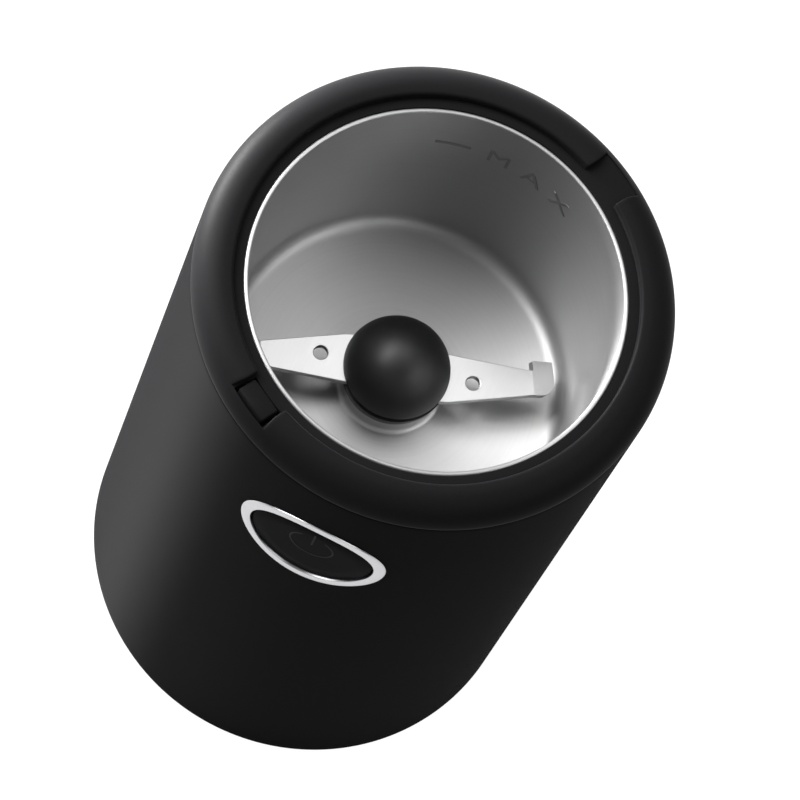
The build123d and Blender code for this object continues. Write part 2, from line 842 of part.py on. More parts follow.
# Sintered bushes that carry the shaft, one in each bracket
with BuildPart() as upper_bush:
    with BuildSketch(Plane.XY.offset(upper_plate_low)):
        Circle(bush_radius)
        Circle(shaft_radius + running_gap, mode=Mode.SUBTRACT)
    extrude(amount=upper_boss_top - upper_plate_low)
upper_bush.part.label = "upper_bush"
export_step(upper_bush.part, "parts/upper_bush.step")

with BuildPart() as lower_bush:
    with BuildSketch(Plane.XY.offset(lower_boss_low)):
        Circle(bush_radius)
        Circle(shaft_radius + running_gap, mode=Mode.SUBTRACT)
    extrude(amount=lower_bush_top - lower_boss_low)
lower_bush.part.label = "lower_bush"
export_step(lower_bush.part, "parts/lower_bush.step")

# Stator core: laminated yoke with two pole shoes facing each other across X
with BuildPart() as stator_core:
    window_width = stator_width - 2 * side_yoke
    window_top = stator_depth / 2 - end_yoke
    window_height = window_top - pole_half_width
    with BuildSketch(Plane.XY.offset(stack_low)):
        RectangleRounded(stator_width, stator_depth, stator_corner)
        with GridLocations(1, window_top + pole_half_width, 1, 2):
            Rectangle(window_width, window_height, mode=Mode.SUBTRACT)
        Circle(stator_bore + shoe_thickness)
        Circle(stator_bore, mode=Mode.SUBTRACT)
        Rectangle(pole_gap, 2 * window_top, mode=Mode.SUBTRACT)
        with GridLocations(1, 2 * bolt_place, 1, 2):
            Circle(bolt_radius + screw_gap, mode=Mode.SUBTRACT)
    extrude(amount=stack_length)
stator_core.part.label = "stator_core"
export_step(stator_core.part, "parts/stator_core.step")

# Field coils: one wound frame round each pole
coil_outer_place = stator_width / 2 - side_yoke - coil_fit
coil_inner_place = stator_bore + shoe_thickness - coil_inset
coil_half = pole_half_width + coil_fit
coil_side = window_top - coil_clear
coil_end = stack_length / 2 + coil_fit


def field_coil(side):
    """Wound frame round the pole on one side, +1 towards +X and -1 towards -X."""
    with BuildPart() as coil:
        with BuildSketch(Plane.YZ.offset(side * coil_inner_place)):
            with Locations((0, stack_mid)):
                RectangleRounded(2 * coil_side, 2 * (coil_end + coil_build), coil_side - coil_half)
                Rectangle(2 * coil_half, 2 * coil_end, mode=Mode.SUBTRACT)
        extrude(amount=side * (coil_outer_place - coil_inner_place))
    return coil.part


with BuildPart() as field_coil_right:
    add(field_coil(1))
field_coil_right.part.label = "field_coil_right"
export_step(field_coil_right.part, "parts/field_coil_right.step")

with BuildPart() as field_coil_left:
    add(field_coil(-1))
field_coil_left.part.label = "field_coil_left"
export_step(field_coil_left.part, "parts/field_coil_left.step")

# Thermal cutout under the lower end of one coil
with BuildPart() as thermal_cutout:
    cutout_middle = (coil_inner_place + coil_outer_place) / 2
    cutout_low = stack_mid - coil_end - coil_build - cutout_size[2]
    with Locations((cutout_middle, 0, cutout_low)):
        Box(*cutout_size, align=FROM_BASE)
thermal_cutout.part.label = "thermal_cutout"
export_step(thermal_cutout.part, "parts/thermal_cutout.step")

# Stator screws: long bolts that clamp both brackets to the stator
with BuildPart() as stator_screws:
    bolt_places = [Plane(origin=(0, side * bolt_place, lower_plate_low)) for side in (-1, 1)]
    bolt_length = upper_plate_top - lower_plate_low
    add(screw_set(bolt_places, bolt_head_radius, bolt_head_height, bolt_radius, bolt_length))
stator_screws.part.label = "stator_screws"
export_step(stator_screws.part, "parts/stator_screws.step")

# Brush holders: brass boxes on the lower bracket, one each side of the commutator
channel_width = brush_width + 2 * brush_fit
channel_height = brush_height + 2 * brush_fit
brush_middle = lower_plate_top + holder_wall + channel_height / 2


def brush_holder(side):
    """Box with a square channel, closed at its outer end, on one side of the shaft."""
    with BuildPart() as holder:
        with BuildSketch(Plane.YZ.offset(side * holder_inner)):
            with Locations((0, brush_middle)):
                Rectangle(channel_width + 2 * holder_wall, channel_height + 2 * holder_wall)
        extrude(amount=side * (holder_outer - holder_inner))
        with BuildSketch(Plane.YZ.offset(side * holder_inner)):
            with Locations((0, brush_middle)):
                Rectangle(channel_width, channel_height)
        extrude(amount=side * (holder_outer - holder_inner - holder_end), mode=Mode.SUBTRACT)
    return holder.part


def carbon_brush(side):
    """Carbon block whose inner end is hollowed to the commutator."""
    with BuildPart() as brush:
        with BuildSketch(Plane.YZ):
            with Locations((0, brush_middle)):
                Rectangle(brush_width, brush_height)
        extrude(amount=side * brush_outer)
        with Locations((0, 0, brush_middle)):
            Cylinder(brush_inner, 2 * brush_height, mode=Mode.SUBTRACT)
    return brush.part


with BuildPart() as brush_holders:
    add(brush_holder(1))
    add(brush_holder(-1))
brush_holders.part.label = "brush_holders"
export_step(brush_holders.part, "parts/brush_holders.step")

with BuildPart() as brush_right:
    add(carbon_brush(1))
brush_right.part.label = "brush_right"
export_step(brush_right.part, "parts/brush_right.step")

with BuildPart() as brush_left:
    add(carbon_brush(-1))
brush_left.part.label = "brush_left"
export_step(brush_left.part, "parts/brush_left.step")


def brush_spring(side):
    """Spring from the closed end of a holder to the back of its brush."""
    seat = (side * (holder_outer - holder_end), 0, brush_middle)
    return coil_spring(
        seat,
        (-side, 0, 0),
        brush_spring_radius,
        brush_spring_wire,
        brush_spring_length,
        brush_spring_turns,
    )


with BuildPart() as brush_spring_right:
    add(brush_spring(1))
brush_spring_right.part.label = "brush_spring_right"
export_step(brush_spring_right.part, "parts/brush_spring_right.step")

with BuildPart() as brush_spring_left:
    add(brush_spring(-1))
brush_spring_left.part.label = "brush_spring_left"
export_step(brush_spring_left.part, "parts/brush_spring_left.step")

# Motor shaft, from the fan up to the blade
with BuildPart() as motor_shaft:
    shaft_low = fan_low - shaft_tail
    with Locations((0, 0, shaft_low)):
        Cylinder(shaft_radius, shaft_high - shaft_low, align=FROM_BASE)
motor_shaft.part.label = "motor_shaft"
export_step(motor_shaft.part, "parts/motor_shaft.step")

# Armature core: slotted laminations on the shaft
with BuildPart() as armature_core:
    with BuildSketch(Plane.XY.offset(stack_low)):
        Circle(armature_radius)
        Circle(shaft_radius + seat_gap, mode=Mode.SUBTRACT)
        with PolarLocations(slot_place_radius, slot_total):
            Circle(slot_round, mode=Mode.SUBTRACT)
        with PolarLocations(armature_radius, slot_total):
            Rectangle(2 * (armature_radius - slot_place_radius), slot_mouth, mode=Mode.SUBTRACT)
    extrude(amount=stack_length)
armature_core.part.label = "armature_core"
export_step(armature_core.part, "parts/armature_core.step")

# Armature winding: wire in every slot, bundled into a ring at each end
with BuildPart() as armature_winding:
    with BuildSketch(Plane.XY.offset(stack_low)):
        with PolarLocations(slot_place_radius, slot_total):
            Circle(slot_round - wire_fit)
    extrude(amount=stack_length)
    for end_height, way in ((stack_top, 1), (stack_low, -1)):
        revolve(
            turned(
                (end_turn_inner, end_height),
                (end_turn_outer, end_height),
                (end_turn_outer, end_height + way * (end_turn_height - end_turn_round)),
                (end_turn_outer - end_turn_round, end_height + way * end_turn_height),
                (end_turn_inner + end_turn_bevel, end_height + way * end_turn_height),
                (end_turn_inner, end_height + way * (end_turn_height - end_turn_bevel)),
            ),
            axis=Axis.Z,
        )
armature_winding.part.label = "armature_winding"
export_step(armature_winding.part, "parts/armature_winding.step")

# Commutator: copper bars with slits between them and a riser at the winding
with BuildPart() as commutator:
    commutator_low = lower_plate_top + commutator_gap
    commutator_top = stack_low - end_turn_height
    with BuildSketch(Plane.XY.offset(commutator_low)):
        Circle(commutator_radius)
    extrude(amount=commutator_top - commutator_low)
    with BuildSketch(Plane.XY.offset(commutator_top - riser_height)):
        Circle(riser_radius)
    extrude(amount=riser_height)
    with BuildSketch(Plane.XY.offset(commutator_low)):
        with PolarLocations(commutator_radius, commutator_bars):
            Rectangle(2 * bar_slit_depth, bar_slit)
        Circle(shaft_radius + seat_gap)
    extrude(amount=commutator_top - commutator_low, mode=Mode.SUBTRACT)
commutator.part.label = "commutator"
export_step(commutator.part, "parts/commutator.step")

# Thrust washers on the shaft, one at each bush
with BuildPart() as thrust_washers:
    for washer_low in (upper_plate_low - washer_gap - washer_thickness, lower_bush_top + washer_gap):
        with BuildSketch(Plane.XY.offset(washer_low)):
            Circle(washer_radius)
            Circle(shaft_radius + seat_gap, mode=Mode.SUBTRACT)
        extrude(amount=washer_thickness)
thrust_washers.part.label = "thrust_washers"
export_step(thrust_washers.part, "parts/thrust_washers.step")

# Cooling fan at the foot of the shaft
with BuildPart() as cooling_fan:
    with BuildSketch(Plane.XY.offset(fan_top - fan_plate)):
        Circle(fan_radius)
    extrude(amount=fan_plate)
    with BuildSketch(Plane.XY.offset(fan_low)):
        Circle(fan_hub_radius)
        with PolarLocations((fan_hub_radius + fan_radius) / 2, fan_vane_count):
            Rectangle(fan_radius - fan_hub_radius + fan_vane, fan_vane)
        Circle(fan_radius, mode=Mode.INTERSECT)
    extrude(amount=fan_height)
    with Locations((0, 0, fan_low)):
        Cylinder(shaft_radius + seat_gap, fan_height, align=FROM_BASE, mode=Mode.SUBTRACT)
cooling_fan.part.label = "cooling_fan"
export_step(cooling_fan.part, "parts/cooling_fan.step")

# Blade hub and cap: two halves of a black ball that clamp the blade
with BuildPart() as blade_hub:
    with Locations((0, 0, ball_middle)):
        Sphere(ball_radius)
    with Locations((0, 0, hub_low)):
        side = 2 * ball_radius
        Box(side, side, blade_low - hub_low, align=FROM_BASE, mode=Mode.INTERSECT)
        Cylinder(shaft_radius + seat_gap, ball_radius, align=FROM_BASE, mode=Mode.SUBTRACT)
blade_hub.part.label = "blade_hub"
export_step(blade_hub.part, "parts/blade_hub.step")

with BuildPart() as blade_cap:
    with Locations((0, 0, ball_middle)):
        Sphere(ball_radius)
    with Locations((0, 0, blade_top)):
        Box(side, side, ball_radius, align=FROM_BASE, mode=Mode.INTERSECT)
        bore_height = shaft_high + seat_gap - blade_top
        Cylinder(shaft_radius + seat_gap, bore_height, align=FROM_BASE, mode=Mode.SUBTRACT)
blade_cap.part.label = "blade_cap"
export_step(blade_cap.part, "parts/blade_cap.step")


def winglet_plane(turn):
    """Upper face of a bent blade tip: X along the bend line, Y outwards, at one arm's end."""
    arm = Plane.XY.offset(blade_top).rotated((0, 0, blade_angle + turn))
    near = arm.from_local_coords((*bend_near, 0))
    far = arm.from_local_coords((*bend_far, 0))
    along = (far - near).normalized()
    outward = Vector(0, 0, 1).cross(along)
    lean = math.radians(tip_bend)
    normal = Vector(0, 0, 1) * math.cos(lean) + outward * math.sin(lean)
    return Plane(origin=near, x_dir=along, z_dir=normal)


# Blade: flat steel bar with both tips bent down
with BuildPart() as blade:
    bend_line = math.dist(bend_near, bend_far)
    tip_points = (
        (0, -bend_overlap),
        (0, tip_ear_start),
        (-tip_ear, tip_ear_start),
        (-tip_ear, tip_length),
        (bend_line - tip_round, tip_length),
        (bend_line, tip_length - tip_round),
        (bend_line, -bend_overlap),
    )
    for turn in (0, 180):
        with BuildSketch(Plane.XY.offset(blade_low).rotated((0, 0, blade_angle + turn))):
            with BuildLine():
                Polyline(
                    (0, blade_straight),
                    bend_near,
                    bend_far,
                    (blade_taper_start, -blade_taper_width),
                    (0, -blade_taper_width),
                    close=True,
                )
            make_face()
        extrude(amount=blade_thickness)
        with BuildSketch(winglet_plane(turn)):
            with BuildLine():
                Polyline(*tip_points, close=True)
            make_face()
        extrude(amount=-blade_thickness)
    with BuildSketch(Plane.XY.offset(blade_low).rotated((0, 0, blade_angle))):
        Circle(shaft_radius + seat_gap)
        with GridLocations(2 * blade_hole_place, 1, 2, 1):
            Circle(blade_hole_radius)
    extrude(amount=blade_thickness, mode=Mode.SUBTRACT)
blade.part.label = "blade"
export_step(blade.part, "parts/blade.step")

# Base cover's rim, inside the body
base_radius = body_radius(base_rim_top) - body_wall - house_gap
base_inside = base_radius - base_rim_wall


def against_rim(side, size):
    """Middle of a box of a size that stands on the base just inside its rim, at the back."""
    reach = math.sqrt(base_inside**2 - (abs(side) + size[0] / 2) ** 2)
    return (side, reach - supply_clear - size[1] / 2)


# Base cover: recessed plate with a rim, screw wells, foot pockets and air slots
with BuildPart() as base_cover:
    revolve(
        turned(
            (0, base_low),
            (base_radius, base_low),
            (base_radius, base_rim_top),
            (base_inside, base_rim_top),
            (base_inside, base_top),
            (0, base_top),
        ),
        axis=Axis.Z,
    )
    with BuildSketch(Plane.XY.offset(base_low)):
        for angle in tower_angles:
            with Locations(polar(tower_circle, angle)):
                Circle(well_radius)
    extrude(amount=base_rim_top - base_low)
    with BuildSketch(Plane.XY.offset(base_low)):
        for angle in tower_angles:
            with Locations(polar(tower_circle, angle)):
                Circle(bolt_head_radius + screw_gap)
    extrude(amount=base_rim_top - well_floor - base_low, mode=Mode.SUBTRACT)
    with BuildSketch(Plane.XY.offset(base_low)):
        for angle in tower_angles:
            with Locations(polar(tower_circle, angle)):
                Circle(bolt_radius + screw_gap)
        with PolarLocations((slot_inner + slot_outer) / 2, slot_count):
            SlotOverall(slot_outer - slot_inner, slot_width)
    extrude(amount=base_rim_top - base_low, mode=Mode.SUBTRACT)
    with BuildSketch(Plane.XY.offset(base_low)):
        with PolarLocations(foot_place_radius, foot_count, start_angle=foot_angle):
            Circle(foot_radius + seat_gap)
    extrude(amount=foot_sink, mode=Mode.SUBTRACT)
base_cover.part.label = "base_cover"
export_step(base_cover.part, "parts/base_cover.step")

# Base screws, up through the wells into the carrier's towers
with BuildPart() as base_screws:
    well_places = [upright_plane(tower_circle, a, base_rim_top - well_floor) for a in tower_angles]
    base_screw_length = well_floor + tower_pilot - seat_gap
    add(screw_set(well_places, bolt_head_radius, bolt_head_height, bolt_radius, base_screw_length))
base_screws.part.label = "base_screws"
export_step(base_screws.part, "parts/base_screws.step")

# Rubber feet in the base's pockets
with BuildPart() as rubber_feet:
    with BuildSketch(Plane.XY):
        with PolarLocations(foot_place_radius, foot_count, start_angle=foot_angle):
            Circle(foot_radius)
    extrude(amount=base_low + foot_sink)
    chamfer(rubber_feet.faces().group_by(Axis.Z)[0].edges(), length=foot_bevel)
rubber_feet.part.label = "rubber_feet"
export_step(rubber_feet.part, "parts/rubber_feet.step")

# Cord gland: a rubber grommet in the back of the body, low down
with BuildPart() as cord_gland:
    wall_inside = body_radius(gland_height) - body_wall
    gland_outer_end = body_radius(gland_height) - gland_set_in
    gland_inner_end = wall_inside - gland_inner_reach
    flange_edge = math.sqrt(wall_inside**2 - gland_flange**2) - house_gap
    with BuildSketch(Plane.XZ.offset(-gland_inner_end)):
        with Locations((0, gland_height)):
            Circle(gland_sleeve)
    extrude(amount=gland_inner_end - gland_outer_end)
    with BuildSketch(Plane.XZ.offset(-flange_edge)):
        with Locations((0, gland_height)):
            Circle(gland_flange)
    extrude(amount=gland_flange_thickness)
    with BuildSketch(Plane.XZ.offset(-gland_inner_end)):
        with Locations((0, gland_height)):
            Circle(gland_bore)
    extrude(amount=gland_inner_end - gland_outer_end, mode=Mode.SUBTRACT)
cord_gland.part.label = "cord_gland"
export_step(cord_gland.part, "parts/cord_gland.step")

# Terminal block and suppression capacitor on the base cover
with BuildPart() as terminal_block:
    terminal_place = against_rim(terminal_side, terminal_size)
    with Locations((*terminal_place, base_top)):
        Box(*terminal_size, align=FROM_BASE)
    with Locations((*terminal_place, base_top + terminal_size[2] / 2)):
        with GridLocations(terminal_screw_spacing, 1, 2, 1):
            Cylinder(terminal_screw_radius, terminal_size[2], align=FROM_BASE, mode=Mode.SUBTRACT)
terminal_block.part.label = "terminal_block"
export_step(terminal_block.part, "parts/terminal_block.step")

with BuildPart() as suppression_capacitor:
    capacitor_place = against_rim(capacitor_side, capacitor_size)
    with Locations((*capacitor_place, base_top)):
        Box(*capacitor_size, align=FROM_BASE)
    fillet(suppression_capacitor.edges().filter_by(Axis.Z), radius=capacitor_round)
suppression_capacitor.part.label = "suppression_capacitor"
export_step(suppression_capacitor.part, "parts/suppression_capacitor.step")

# Button bezel: an oval ring that wraps round the body, with a tube through its wall
with BuildPart() as button_bezel:
    tube_half_width = bezel_half_width - bezel_ring + bezel_tube
    tube_half_height = bezel_half_height - bezel_ring + bezel_tube
    add(skin_piece(bezel_half_width, bezel_half_height, -bezel_proud, -seat_gap))
    add(skin_piece(tube_half_width, tube_half_height, -bezel_proud, body_wall))
    with BuildSketch(Plane.XZ):
        with Locations((0, button_middle)):
            Ellipse(bezel_half_width - bezel_ring, bezel_half_height - bezel_ring)
    extrude(amount=2 * body_bottom_radius, mode=Mode.SUBTRACT)
button_bezel.part.label = "button_bezel"
export_step(button_bezel.part, "parts/button_bezel.step")

# Power button: oval cap with a catch flange, a leg down to its switch and a spring pocket
cap_half_width = bezel_half_width - bezel_ring - slide_gap
cap_half_height = bezel_half_height - bezel_ring - slide_gap
flange_depth = body_wall + cap_flange_gap
cap_inside = flange_depth + cap_flange_thickness
pocket_floor = body_radius(button_middle) - cap_recess - spring_pocket_floor
with BuildPart() as power_button:
    add(skin_piece(cap_half_width, cap_half_height, cap_recess, cap_inside))
    add(
        skin_piece(
            cap_half_width + cap_flange + slide_gap,
            cap_half_height + cap_flange + slide_gap,
            flange_depth,
            cap_inside,
        )
    )
    leg_low = start_switch_height - plunger_radius - leg_thickness
    with Locations((0, -(leg_outer + leg_inner) / 2, leg_low)):
        leg_height = button_middle - cap_half_height + cap_flange - leg_low
        Box(2 * leg_half_width, leg_thickness, leg_height, align=FROM_BASE)
    with BuildSketch(Plane.XZ.offset(cup_outer)):
        with Locations((0, button_middle)):
            Circle(spring_pocket_radius)
    extrude(amount=pocket_floor - cup_outer, mode=Mode.SUBTRACT)
power_button.part.label = "power_button"
export_step(power_button.part, "parts/power_button.step")

# Button spring, from the pad on the carrier into the pocket in the cap
with BuildPart() as button_spring:
    pad_face = cup_outer + spring_pad_proud
    add(
        coil_spring(
            (0, -pad_face, button_middle),
            (0, -1, 0),
            button_spring_radius,
            button_spring_wire,
            pocket_floor - pad_face,
            button_spring_turns,
        )
    )
button_spring.part.label = "button_spring"
export_step(button_spring.part, "parts/button_spring.step")

# Start switch under the deck, with its plunger at the button's leg
with BuildPart() as start_switch:
    add(microswitch(start_switch_face))
start_switch.part.label = "start_switch"
export_step(start_switch.part, "parts/start_switch.step")

with BuildPart() as start_switch_plunger:
    add(switch_plunger(start_switch_face, button_travel))
start_switch_plunger.part.label = "start_switch_plunger"
export_step(start_switch_plunger.part, "parts/start_switch_plunger.step")

# Lid interlock: block in the notch, rod past the bowl and a foot over its switch
with BuildPart(upright_plane(0, interlock_angle, 0)) as interlock_plunger:
    block_top = ledge_height + block_proud
    foot_plate_low = interlock_switch_top + interlock_travel + plunger_reach
    with Locations(((block_inner + block_outer) / 2, 0, rod_flange_low)):
        Box(block_thickness, block_width, block_top - rod_flange_low, align=FROM_BASE)
    chamfer(interlock_plunger.faces().sort_by(Axis.Z)[-1].edges(), length=block_bevel)
    with Locations((rod_circle, 0, rod_flange_low)):
        Cylinder(rod_flange_radius, rod_flange_thickness, align=FROM_BASE)
    with Locations((rod_circle, 0, foot_plate_low)):
        Cylinder(rod_radius, rod_flange_low - foot_plate_low, align=FROM_BASE)
    foot_plate_inner = interlock_switch_circle - plunger_radius
    foot_plate_outer = rod_circle + rod_radius
    with Locations(((foot_plate_inner + foot_plate_outer) / 2, 0, foot_plate_low)):
        foot_plate_length = foot_plate_outer - foot_plate_inner
        Box(foot_plate_length, 2 * foot_plate_half_width, foot_plate_thickness, align=FROM_BASE)
interlock_plunger.part.label = "interlock_plunger"
export_step(interlock_plunger.part, "parts/interlock_plunger.step")

with BuildPart() as interlock_spring:
    add(
        coil_spring(
            polar(rod_circle, interlock_angle, guide_top),
            (0, 0, 1),
            interlock_spring_radius,
            interlock_spring_wire,
            interlock_spring_length,
            interlock_spring_turns,
        )
    )
interlock_spring.part.label = "interlock_spring"
export_step(interlock_spring.part, "parts/interlock_spring.step")

with BuildPart() as interlock_switch:
    add(microswitch(interlock_switch_face))
interlock_switch.part.label = "interlock_switch"
export_step(interlock_switch.part, "parts/interlock_switch.step")

with BuildPart() as interlock_switch_plunger:
    add(switch_plunger(interlock_switch_face, interlock_travel))
interlock_switch_plunger.part.label = "interlock_switch_plunger"
export_step(interlock_switch_plunger.part, "parts/interlock_switch_plunger.step")

# Switch screws: two through each microswitch into the carrier
with BuildPart() as switch_screws:
    switch_places = start_screw_places + interlock_screw_places
    switch_screw_length = switch_width + tab_thickness
    add(
        screw_set(
            switch_places,
            switch_screw_head,
            switch_screw_head_height,
            switch_screw_radius,
            switch_screw_length,
        )
    )
switch_screws.part.label = "switch_screws"
export_step(switch_screws.part, "parts/switch_screws.step")
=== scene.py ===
"""Looks of an electric coffee grinder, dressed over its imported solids."""
import json
import logging
import math
from dataclasses import dataclass, field
from enum import Enum
from typing import Any, Iterable, Optional, Sequence

import bmesh
import bpy
from mathutils import Matrix, Vector


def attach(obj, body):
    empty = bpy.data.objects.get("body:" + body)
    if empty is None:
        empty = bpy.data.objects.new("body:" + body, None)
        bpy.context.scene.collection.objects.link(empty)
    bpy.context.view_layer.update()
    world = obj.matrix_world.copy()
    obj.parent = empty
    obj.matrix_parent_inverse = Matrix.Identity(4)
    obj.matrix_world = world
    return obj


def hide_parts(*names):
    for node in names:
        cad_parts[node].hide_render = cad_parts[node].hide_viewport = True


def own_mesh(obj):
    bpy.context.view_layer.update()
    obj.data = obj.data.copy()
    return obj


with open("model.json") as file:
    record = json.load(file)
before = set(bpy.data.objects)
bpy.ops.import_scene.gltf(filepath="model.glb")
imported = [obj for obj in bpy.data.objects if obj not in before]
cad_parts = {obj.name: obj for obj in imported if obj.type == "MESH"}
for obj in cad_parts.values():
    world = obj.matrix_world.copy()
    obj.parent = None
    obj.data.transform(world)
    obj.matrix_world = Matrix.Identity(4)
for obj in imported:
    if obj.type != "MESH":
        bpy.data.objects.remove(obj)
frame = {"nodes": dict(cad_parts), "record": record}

log = logging.getLogger("coffee_grinder")

MM = 0.001
UP = Vector((0.0, 0.0, 1.0))
HALF_TURN = Matrix.Rotation(math.pi, 3, "Z")
# Millimetres under which points are one, edges are slivers and flat points touch
WELD, SLIVER, TOUCH = 0.0004, 0.0002, 0.001
Pair = tuple[float, float]
Triple = tuple[float, float, float]
Shape = bmesh.types.BMesh


class Body(Enum):
    """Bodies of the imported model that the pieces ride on."""

    HOUSING = "housing"
    ROTOR = "rotor"
    BUTTON = "power_button"
    INTERLOCK = "interlock_plunger"


class Grain(Enum):
    """What the fine surface of a finish follows."""

    MOULDED = "moulded"
    TURNED = "turned"
    BRUSHED = "brushed"
    STACKED = "stacked"
    WOUND = "wound"


# Direction and waviness of the grains that come in bands
BANDS: dict[Grain, tuple[str, float]] = {Grain.STACKED: ("Z", 0.4), Grain.WOUND: ("DIAGONAL", 0.6)}
BANDS_PER_SCALE = 3.2
BRUSHED_STRETCH = (1.0, 0.04, 1.0)
LEAST_ROUGHNESS = 0.02
RELIEF_STRENGTH = 0.6
CROSS_GRAIN_TURN = 0.25


def linear(hex_colour: str) -> tuple[float, float, float, float]:
    """Turn an sRGB hex colour into linear light.

    Args:
        hex_colour: six hex digits after a hash sign.

    Returns:
        Red, green, blue and an opaque alpha.
    """
    shares = [int(hex_colour[i : i + 2], 16) / 255 for i in (1, 3, 5)]
    red, green, blue = (s / 12.92 if s <= 0.04045 else ((s + 0.055) / 1.055) ** 2.4 for s in shares)
    return (red, green, blue, 1.0)


def add_node(
    tree: bpy.types.NodeTree,
    kind: str,
    settings: Optional[dict[Any, Any]] = None,
    links: Optional[dict[Any, bpy.types.NodeSocket]] = None,
) -> bpy.types.Node:
    """Add a shader node with its settings and links.

    Args:
        tree: the node tree that takes the node.
        kind: the node's type.
        settings: properties by name, or input sockets by name or number, and their values.
        links: input sockets by name or number, and the outputs that feed them.

    Returns:
        The new node.
    """
    node = tree.nodes.new(kind)
    for key, value in (settings or {}).items():
        if isinstance(key, str) and hasattr(node, key):
            setattr(node, key, value)
        else:
            node.inputs[key].default_value = value
    for key, source in (links or {}).items():
        tree.links.new(source, node.inputs[key])
    return node


@dataclass(frozen=True)
class Finish:
    """A real material and the way its surface was made.

    The colour drifts towards the tint, the roughness varies and the surface
    rises and falls over a grain whose size is given in millimetres.
    """

    name: str
    colour: str
    tint: str
    roughness: float
    roughness_span: float
    grain_mm: float
    grain_depth_mm: float
    metallic: float = 0.0
    specular: float = 0.5
    grain: Grain = Grain.MOULDED
    anisotropy: float = 0.0
    cross_grain: bool = False
    sheen: float = 0.0
    sheen_roughness: float = 0.5
    ior: float = 1.5

    def pattern(self, tree: bpy.types.NodeTree) -> bpy.types.NodeSocket:
        """Draw the grain on the piece's own coordinates.

        Args:
            tree: the material's node tree.

        Returns:
            The socket that carries the grain, from 0 to 1.
        """
        place = add_node(tree, "ShaderNodeTexCoord").outputs["Object"]
        scale = 1.0 / (self.grain_mm * MM)
        if self.grain in BANDS:
            way, wander = BANDS[self.grain]
            bands = {"bands_direction": way, "Scale": scale / BANDS_PER_SCALE, "Distortion": wander}
            return add_node(tree, "ShaderNodeTexWave", bands, {"Vector": place}).outputs["Fac"]
        if self.grain is Grain.BRUSHED:
            stretch = {"Scale": BRUSHED_STRETCH}
            place = add_node(tree, "ShaderNodeMapping", stretch, {"Vector": place}).outputs["Vector"]
        if self.grain is Grain.TURNED:
            axes = add_node(tree, "ShaderNodeSeparateXYZ", links={"Vector": place}).outputs
            flat = {"X": axes["X"], "Y": axes["Y"]}
            level = add_node(tree, "ShaderNodeCombineXYZ", links=flat).outputs[0]
            length = {"operation": "LENGTH"}
            reach = add_node(tree, "ShaderNodeVectorMath", length, {0: level}).outputs["Value"]
            rings = {"X": reach, "Z": axes["Z"]}
            place = add_node(tree, "ShaderNodeCombineXYZ", links=rings).outputs[0]
        speckle = {"Scale": scale, "Detail": 4.0, "Roughness": 0.6}
        return add_node(tree, "ShaderNodeTexNoise", speckle, {"Vector": place}).outputs["Fac"]

    def material(self) -> bpy.types.Material:
        """Build the material once and hand the same one out after that.

        Returns:
            The node material of this finish.
        """
        ready = bpy.data.materials.get(self.name)
        if ready:
            return ready
        made = bpy.data.materials.new(self.name)
        made.use_nodes = True
        made.diffuse_color = linear(self.colour)
        tree = made.node_tree
        tree.nodes.clear()
        grain = self.pattern(tree)
        colours = {"data_type": "RGBA", 6: linear(self.colour), 7: linear(self.tint)}
        levels = {
            "To Min": max(LEAST_ROUGHNESS, self.roughness - self.roughness_span),
            "To Max": min(1.0, self.roughness + self.roughness_span),
        }
        relief = {"Strength": RELIEF_STRENGTH, "Distance": self.grain_depth_mm * MM}
        links = {
            "Base Color": add_node(tree, "ShaderNodeMix", colours, {0: grain}).outputs[2],
            "Roughness": add_node(tree, "ShaderNodeMapRange", levels, {"Value": grain}).outputs["Result"],
            "Normal": add_node(tree, "ShaderNodeBump", relief, {"Height": grain}).outputs["Normal"],
        }
        if self.anisotropy:
            round_axis = {"direction_type": "RADIAL", "axis": "Z"}
            links["Tangent"] = add_node(tree, "ShaderNodeTangent", round_axis).outputs["Tangent"]
        skin = {
            "Metallic": self.metallic,
            "IOR": self.ior,
            "Specular IOR Level": self.specular,
            "Anisotropic": self.anisotropy,
            "Anisotropic Rotation": CROSS_GRAIN_TURN if self.cross_grain else 0.0,
            "Sheen Weight": self.sheen,
            "Sheen Roughness": self.sheen_roughness,
        }
        shader = add_node(tree, "ShaderNodeBsdfPrincipled", skin, links).outputs["BSDF"]
        add_node(tree, "ShaderNodeOutputMaterial", links={"Surface": shader})
        return made


# Each finish gives its name, colour and tint, its roughness and the span of that, and the size and
# depth of its grain in millimetres.

# Printed mark: thin dark grey ink, matt against the polished button
MARK_INK = Finish("grey_mark_ink", "#303032", "#353537", 0.5, 0.06, 0.5, 0.002, specular=0.002)
# Fill mark: the bowl's steel made duller, with painted shade: its colour is darker to stand in for the shade
# on the raised letters
PAINTED_SHADE_MARK_STEEL = Finish("painted_shade_mark_steel", "#9c9c9c", "#939393", 0.55, 0.05, 0.3, 0.004, metallic=1.0)

